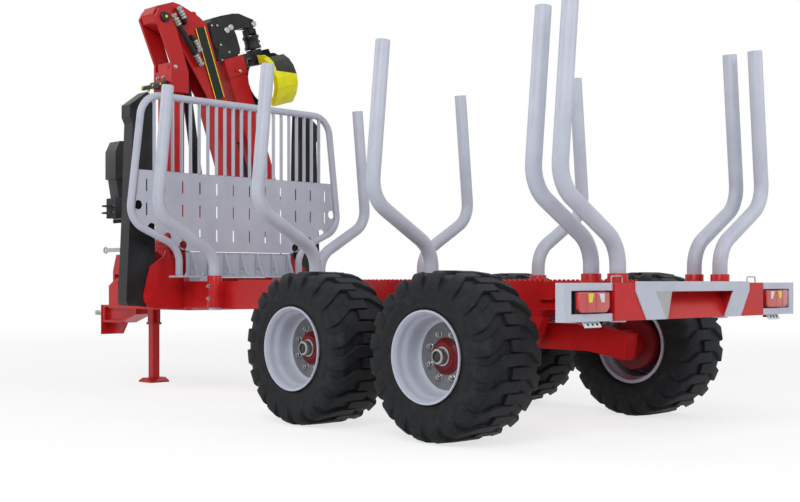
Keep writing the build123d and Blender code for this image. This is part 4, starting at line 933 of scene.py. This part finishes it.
def stand_enamel(name):
    # The tower is sprayed red; the rail and its hook on top are bare zinc-plated bar
    material = enamel(name, RED, 0.30)
    where = add(material, "ShaderNodeTexCoord")
    bloom = add(
        material, "ShaderNodeTexNoise", {"Scale": 1 / 0.004, "Detail": 3.0},
        [("Vector", where, "Object")],
    )
    zinc = add(
        material, "ShaderNodeMixRGB", {"Color1": linear(ZINC[0]), "Color2": linear(ZINC[2])},
        [("Fac", bloom, "Fac")],
    )
    parts = add(material, "ShaderNodeSeparateXYZ", {}, [("Vector", where, "Object")])
    rail = add(
        material, "ShaderNodeMath", {"operation": "GREATER_THAN", 1: RAIL_UNDER},
        [(0, parts, "Z")],
    )
    overspray(material, rail, zinc)
    return material


def bolt_circle(shape, count, radius, height):
    # Nuts round the slewing axis, half a step off the middle line
    for index in range(count):
        angle = 2 * math.pi * (index + 0.5) / count
        place = (COLUMN_X + radius * math.cos(angle), radius * math.sin(angle), height)
        nut(shape, place, (0, 0, 1), M12_NUT)


for node in ("crane_base", "stabiliser_brackets", "drawbar"):
    dress(node, red_enamel, 2.5)
dress("hose_stand", stand_enamel("red_enamel_and_zinc_rail"), 1.5)
shape = bmesh.new()
bolt_circle(shape, HOUSING_BOLTS, HOUSING_BOLT_R, HOUSING_FLANGE)
for y in DRAWBAR_BOLT_Y:
    for z in DRAWBAR_BOLT_Z:
        nut(shape, (DRAWBAR_FLANGE, y, z), (1, 0, 0), M16_NUT)
base_bolts = finish_mesh(shape, "crane_base_bolts", [bright_zinc])
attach(base_bolts, "trailer")

# Towing eye and jack: the eye is forged and zinc plated, the jack a square tube leg sprayed red
# with a zinc crank.
dress("towing_eye", bright_zinc, 2.0)
dress("jack", red_enamel, 1.5)

# Crane column: a welded post with a fork at its head, turning on the slewing housing, held by
# bolts round its flange. Sprayed red.
COLUMN_BOLTS, COLUMN_BOLT_R, COLUMN_FLANGE = 12, 0.148, 1.336
FORK_FACE = 0.1462
FORK_SIDE_Y, FORK_SIDE_Z = 0.050, 2.930
FORK_BACK = 0.0953
FORK_BACK_X, FORK_BACK_Z = (2.198, 2.106), 2.840
FORK_NUT = (0.026, 0.014)
dress("column", red_enamel, 2.5)
shape = bmesh.new()
bolt_circle(shape, COLUMN_BOLTS, COLUMN_BOLT_R, COLUMN_FLANGE)
for side in (-1, 1):
    nut(shape, (COLUMN_X + side * FORK_FACE, FORK_SIDE_Y, FORK_SIDE_Z), (side, 0, 0), FORK_NUT)
for x in FORK_BACK_X:
    nut(shape, (x, FORK_BACK, FORK_BACK_Z), (0, 1, 0), FORK_NUT)
column_bolts = finish_mesh(shape, "column_bolts", [bright_zinc])
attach(column_bolts, "column")

# Boom pin: black end caps with a grease nipple under a yellow cap, and a black arm bolted to the
# fork's cheek that carries the hose clamp.
BLACK = ("1B1C1E", "151618", "26272A")
CAP_YELLOW = ("E0D818", "EDE52A")
SEAT = 0.0003
PIN_SPOT = (0.170, 3.370)
PIN_CAP_R, PIN_CAP_OUT = 0.047, 0.030
NIPPLE_R, NIPPLE_OUT = 0.013, 0.040
ARM_ROOT = ((2.020, FORK_BACK, 2.745), (2.250, 0.150, 2.800))
ARM_END = ((2.240, 0.100, 2.752), (2.420, 0.135, 2.790))
ARM_PLUG = ((2.330, 0.117, 2.752), (2.330, 0.117, 2.730))
ARM_PLUG_R = 0.016
ARM_CAPS_X, ARM_CAPS_Z = (2.070, 2.200, 2.390), 2.772
ARM_CAP_FOOT, ARM_CAP_TOP, ARM_CAP_R = 0.134, 0.156, 0.010


def head(shape, side, face, spot, out, radius, slot_index, count, chamfer, seat=SEAT):
    # A round head that stands out of a side plate, from its seat to out, at spot (y, z)
    rod(
        shape, (face + side * seat, *spot), (face + side * out, *spot),
        radius, slot_index, count, chamfer,
    )


black_enamel = enamel("black_enamel_on_steel", BLACK, 0.38)
yellow_cap = plastic("yellow_moulded_grease_cap", CAP_YELLOW)
shape = bmesh.new()
for side in (-1, 1):
    face = COLUMN_X + side * FORK_FACE
    head(shape, side, face, PIN_SPOT, PIN_CAP_OUT, PIN_CAP_R, 0, 28, 0.2)
    head(shape, side, face, PIN_SPOT, NIPPLE_OUT, NIPPLE_R, 1, 14, 0.3, PIN_CAP_OUT)
box(shape, *ARM_ROOT, 0, 0.004)
box(shape, *ARM_END, 0, 0.004)
rod(shape, *ARM_PLUG, ARM_PLUG_R, 1, 14, 0.3)
for x in ARM_CAPS_X:
    rod(shape, (x, ARM_CAP_FOOT, ARM_CAPS_Z), (x, ARM_CAP_TOP, ARM_CAPS_Z), ARM_CAP_R, 1, 14, 0.3)
pin_caps = finish_mesh(shape, "boom_pin_caps_and_arm", [black_enamel, yellow_cap])
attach(pin_caps, "column")

# Control valve: a folded cover over a bank of six cast spool sections. Each section has a lever
# with a ball grip below, and two steel hose fittings on its side.
SECTION_BLACK = ("202123", "2B2C2E")
COVER_SIDE = ((0.441, 1.872), (0.606, 1.872), (0.606, 2.120), (0.560, 2.214), (0.441, 2.224))
COVER_X = (2.0945, 2.2735)
SKIRT_SIDE = ((0.462, 1.700), (0.560, 1.700), (0.590, 1.874), (0.462, 1.874))
SKIRT_X = (2.112, 2.256)
VALVE_ARM = ((2.154, 0.0955, 1.822), (2.214, 0.452, 1.882))
VALVE_X = 2.184
SECTION_COUNT, SECTION_PITCH, SECTION_HALF = 6, 0.0266, 0.0115
SECTION_Y, SECTION_Z = (0.452, 0.600), (1.522, 1.702)
LEVER_Y = 0.526
LEVER_RUNS = (
    # foot, top, radius, slot, chamfer: the spool's end, then the ball grip
    (1.512, 1.523, 0.010, 2, 0.12),
    (1.4805, 1.513, 0.0115, 1, 0.4),
)
FITTING_HEIGHTS = (1.570, 1.632)
FITTING_RUNS = (
    # from, to, radius, slot, corners, chamfer: the hexagon, then the hose
    (0.599, 0.624, 0.0105, 2, 6, 0.1),
    (0.624, 0.649, 0.0085, 0, 14, 0.12),
)
section_iron = plastic("dark_cast_iron_sections", SECTION_BLACK, 0.004)
shape = bmesh.new()
slab(shape, COVER_SIDE, *COVER_X, 0, 0, 0.006)
slab(shape, SKIRT_SIDE, *SKIRT_X, 0, 0, 0.004)
box(shape, *VALVE_ARM, 0, 0.003)
for index in range(SECTION_COUNT):
    middle = VALVE_X + (index - (SECTION_COUNT - 1) / 2) * SECTION_PITCH
    low, high = zip((middle - SECTION_HALF, middle + SECTION_HALF), SECTION_Y, SECTION_Z)
    box(shape, low, high, 1, 0.002)
    for foot, top, radius, kind, chamfer in LEVER_RUNS:
        rod(shape, (middle, LEVER_Y, foot), (middle, LEVER_Y, top), radius, kind, 14, chamfer)
    for z in FITTING_HEIGHTS:
        for first, last, radius, kind, count, chamfer in FITTING_RUNS:
            rod(shape, (middle, first, z), (middle, last, z), radius, kind, count, chamfer)
valve = finish_mesh(shape, "valve_bank_with_cover", [black_enamel, section_iron, bright_zinc])
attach(valve, "column")
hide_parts("valve_unit")

# Boom and outer boom: welded boxes of steel plate with pinned ends, sprayed red. The telescopic
# end slides in the outer boom's mouth.
for node in ("boom", "jib"):
    dress(node, red_enamel, 2.0)

# Boom hoses: two short rubber hoses on each side of the boom, along its rear edge, with a crimped
# steel ferrule and a hexagon at the ends, screwed into ports in the side plate.
HOSE_BLACK = ("1A1B1A", "252624")
BOOM_SIDES = ((-1, 2.010), (1, 2.238))
HOSE_STANDOFF = 0.036
PORT_SEAT = 0.0004
PORT_R, PORT_BACK = 0.017, 0.014
FERRULE_LONG, FERRULE_R = 0.115, 0.031
FERRULE_RUNS = (
    # from, to, as shares of its length, radius as a share, corners
    (0.00, 0.24, 1.00, 6), (0.24, 0.36, 0.66, 16), (0.36, 0.54, 1.02, 18), (0.54, 0.60, 0.86, 18),
    (0.60, 0.76, 1.02, 18), (0.76, 0.82, 0.86, 18), (0.82, 1.00, 1.00, 18),
)
HOSE_RUNS = (
    # top, bottom as (y, z), whether the hose itself runs between the ends
    ((0.083, 3.410), (-0.238, 2.977), True),
    ((0.023, 3.484), (-0.221, 3.106), False),
)
HOSE_R, HOSE_GRIP = 0.0255, 0.110
TAIL_R, TAIL_GRIP, TAIL_LONG, TAIL_BEND = 0.0225, 0.112, 0.040, 0.030


def ferrule(shape, start, way):
    # Crimped steel: a hexagon, a neck, then three pressed rings over the hose
    for near, far, wide, count in FERRULE_RUNS:
        rod(
            shape, start + way * FERRULE_LONG * near, start + way * FERRULE_LONG * far,
            FERRULE_R * wide, 1, count, 0.10,
        )


hose_rubber = plastic("black_braided_hose_rubber", HOSE_BLACK, 0.003)
shape = bmesh.new()
for side, face in BOOM_SIDES:
    lane = face + side * HOSE_STANDOFF
    inside = face + side * PORT_SEAT
    for top, bottom, shown in HOSE_RUNS:
        first, last = Vector((lane, *top)), Vector((lane, *bottom))
        along = (last - first).normalized()
        ends = ((first, along), (last, -along))
        if shown:
            hose(shape, [first + along * HOSE_GRIP, last - along * HOSE_GRIP], HOSE_R, 0, 20)
        for spot, way in ends:
            ferrule(shape, spot, way)
            port = spot + way * PORT_BACK
            rod(shape, (inside, port.y, port.z), port, PORT_R, 1, 16)
            if not shown:
                # The hose dives into the boom through its side plate
                grip = spot + way * TAIL_GRIP
                bend = grip + way * TAIL_LONG
                route = arc_route([grip, bend, bend + Vector((inside - lane, 0, 0))], TAIL_BEND)
                hose(shape, route, TAIL_R, 0, 16)
boom_hoses = finish_mesh(shape, "boom_side_hoses", [hose_rubber, bright_zinc])
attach(boom_hoses, "boom")

# Boom stripe: a plain black band of vinyl with a yellow line along each edge, cut from sheet and
# stuck on both sides of the boom.
STRIPE_BLACK = ("1B1F20", "202526")
STRIPE_RUN = ((-0.244, 3.340), (-0.474, 2.700))
STRIPE_BANDS = (
    # from, to, across the stripe, slot
    (-0.046, 0.046, 0), (-0.055, -0.047, 1), (0.047, 0.055, 1),
)
STRIPE_UNDER, STRIPE_OVER = 0.0002, 0.0009
vinyl = plastic("black_vinyl_band", STRIPE_BLACK)
shape = bmesh.new()
first, last = Vector(STRIPE_RUN[0]), Vector(STRIPE_RUN[1])
across = Vector((first.y - last.y, last.x - first.x)).normalized()
for side, face in BOOM_SIDES:
    for inner, outer, kind in STRIPE_BANDS:
        outline = [
            first + across * inner, first + across * outer, last + across * outer, last + across * inner,
        ]
        slab(shape, outline, face + side * STRIPE_UNDER, face + side * STRIPE_OVER, kind)
stripe = finish_mesh(shape, "boom_side_stripe", [vinyl, yellow_cap], smooth=20)
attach(stripe, "boom")

# Telescopic end: a black-sprayed box with bolted cover plates, whose screws and pins have
# zinc-plated heads. The outer boom's mouth has a red boss with a zinc screw.
TIP_SIDES = ((-1, 2.039), (1, 2.209))
COVER_PLATE = (
    (-0.475, 3.255), (-0.560, 3.235), (-0.660, 3.335), (-0.700, 3.225), (-0.708, 3.185),
    (-0.640, 3.085), (-0.545, 3.040), (-0.470, 3.060),
)
COVER_PLATE_OUT = 0.006
TIP_PINS = ((-0.570, 3.367), (-0.617, 3.401), (-0.892, 3.477))
TIP_PIN_OUT, TIP_PIN_R = 0.016, 0.030
TIP_SCREWS = ((-0.500, 3.216), (-0.520, 3.072), (-0.600, 3.160), (-0.459, 3.395), (-0.395, 3.385))
TIP_SCREW_OUT, TIP_SCREW_R = 0.011, 0.011
JIB_SIDES = ((-1, 2.015), (1, 2.233))
BOSS_SPOT, BOSS_OUT, BOSS_R = (-0.675, 2.998), 0.012, 0.024
BOSS_SCREW_SPOT, BOSS_SCREW_OUT, BOSS_SCREW_R = (-0.712, 2.990), 0.014, 0.017
dress("boom_tip", black_enamel, 2.0)
shape = bmesh.new()
for side, face in TIP_SIDES:
    slab(shape, COVER_PLATE, face + side * SEAT, face + side * COVER_PLATE_OUT, 0, 0, 0.001)
    for spot in TIP_PINS:
        head(shape, side, face, spot, TIP_PIN_OUT, TIP_PIN_R, 1, 24, 0.35)
    for spot in TIP_SCREWS:
        head(shape, side, face, spot, TIP_SCREW_OUT, TIP_SCREW_R, 1, 14, 0.35)
tip_bolts = finish_mesh(shape, "tip_cover_and_bolts", [black_enamel, bright_zinc])
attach(tip_bolts, "tip")
shape = bmesh.new()
for side, face in JIB_SIDES:
    head(shape, side, face, BOSS_SPOT, BOSS_OUT, BOSS_R, 0, 20, 0.2)
    head(shape, side, face, BOSS_SCREW_SPOT, BOSS_SCREW_OUT, BOSS_SCREW_R, 1, 20, 0.35)
jib_bosses = finish_mesh(shape, "jib_mouth_bosses", [red_enamel, bright_zinc])
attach(jib_bosses, "jib")

# Link, rotator and grapple head: a cast link on the boom end's pin, a hydraulic rotator under it
# and the welded head that carries the jaws. All three are steel, sprayed black.
dress("link", black_enamel, 1.5)
dress("rotator", black_enamel, 2.0)
dress("grapple_head", black_enamel, 2.0)

# Grapple jaws: curved shells of rolled plate on cut ribs, sprayed signal yellow. The crown of the shells is
# black, and the inside of the shells is painted dark as painted shade.
YELLOW = ("E3DB12", "D2C80E", "EEE62C")
# Dark tones for the crown's black paint and for painted shade inside the shells
SHELL_BLACK_AND_SHADE = ("23231C", "34332A")
SHELL_MIDDLE = (2.124, -1.056, 2.930)
CROWN_ABOVE, CROWN_HALF = 0.055, 0.125
SHADED_INSIDE_FACING = (-0.10, -0.09)


def jaw_enamel(name):
    # Yellow enamel; the crown between the shell's edges is sprayed black. A face whose normal points at the
    # shell's middle is inside, and there the same dark, mottled about 45 mm across, is painted shade.
    material = enamel(name, YELLOW, 0.36)
    where = add(material, "ShaderNodeTexCoord")
    dark_mottle = add(
        material, "ShaderNodeTexNoise", {"Scale": 1 / 0.045, "Detail": 6.0},
        [("Vector", where, "Object")],
    )
    # The crown's black, also laid inside the shells as painted shade
    steel = add(
        material, "ShaderNodeMixRGB",
        {"Color1": linear(SHELL_BLACK_AND_SHADE[0]), "Color2": linear(SHELL_BLACK_AND_SHADE[1])},
        [("Fac", dark_mottle, "Fac")],
    )
    offset = add(
        material, "ShaderNodeVectorMath", {"operation": "SUBTRACT", 1: SHELL_MIDDLE},
        [(0, where, "Object")],
    )
    facing = add(
        material, "ShaderNodeVectorMath", {"operation": "DOT_PRODUCT"},
        [(0, offset, "Vector"), (1, where, "Normal")],
    )
    # Painted shade: faces turned to the shell's middle, inside the hollow, go dark
    inside = add(
        material, "ShaderNodeMapRange",
        {"From Min": SHADED_INSIDE_FACING[0], "From Max": SHADED_INSIDE_FACING[1], "To Min": 1.0, "To Max": 0.0},
        [("Value", facing, "Value")],
    )
    parts = add(material, "ShaderNodeSeparateXYZ", {}, [("Vector", offset, "Vector")])
    across = add(material, "ShaderNodeMath", {"operation": "ABSOLUTE"}, [(0, parts, "Y")])
    within = add(
        material, "ShaderNodeMath", {"operation": "LESS_THAN", 1: CROWN_HALF},
        [(0, across, "Value")],
    )
    high = add(
        material, "ShaderNodeMath", {"operation": "GREATER_THAN", 1: CROWN_ABOVE},
        [(0, parts, "Z")],
    )
    crown = add(
        material, "ShaderNodeMath", {"operation": "MULTIPLY"},
        [(0, within, "Value"), (1, high, "Value")],
    )
    dark = add(
        material, "ShaderNodeMath", {"operation": "MAXIMUM"},
        [(0, crown, "Value"), (1, inside, "Result")],
    )
    overspray(material, dark, steel)
    return material


yellow_enamel = jaw_enamel("signal_yellow_enamel_on_rolled_plate")
for node in ("jaw_rear", "jaw_front"):
    dress(node, yellow_enamel, 1.5)

# Hydraulic cylinders: barrels of drawn tube sprayed black, with steel rods that are ground and
# hard-chromed, each pinned through an eye at both ends.
CHROME = ("C9CBCE", "E4E5E6")


def chromed(name):
    # Hard chrome, ground round: a bright, even metal with grinding marks drawn 4 mm across
    material = start_material(name)
    where = add(material, "ShaderNodeTexCoord")
    grind = add(
        material, "ShaderNodeTexNoise", {"Scale": 1 / 0.004, "Detail": 4.0},
        [("Vector", where, "Object")],
    )
    tones = add(
        material, "ShaderNodeMixRGB", {"Color1": linear(CHROME[0]), "Color2": linear(CHROME[1])},
        [("Fac", grind, "Fac")],
    )
    satin = add(
        material, "ShaderNodeMapRange", {"To Min": 0.10, "To Max": 0.20},
        [("Value", grind, "Fac")],
    )
    body = add(
        material, "ShaderNodeBsdfPrincipled", {"Metallic": 1.0},
        [("Base Color", tones, "Color"), ("Roughness", satin, "Result")],
    )
    add(material, "ShaderNodeOutputMaterial", {}, [("Surface", body, "BSDF")])
    return material


chrome = chromed("hard_chrome_on_ground_rod")
for node in ("lift_barrel", "jib_barrel", "leg_barrel_left", "leg_barrel_right"):
    dress(node, black_enamel, 1.5)
for node in ("lift_rod", "jib_rod", "leg_rod_left", "leg_rod_right"):
    dress(node, chrome, 0.8)

# Stabiliser legs: channels folded from plate and sprayed black, each with its sole at the end.
# They hang on the brackets' pins and stand folded up in front of the headboard.
for node in ("leg_left", "leg_right"):
    dress(node, black_enamel, 2.5)
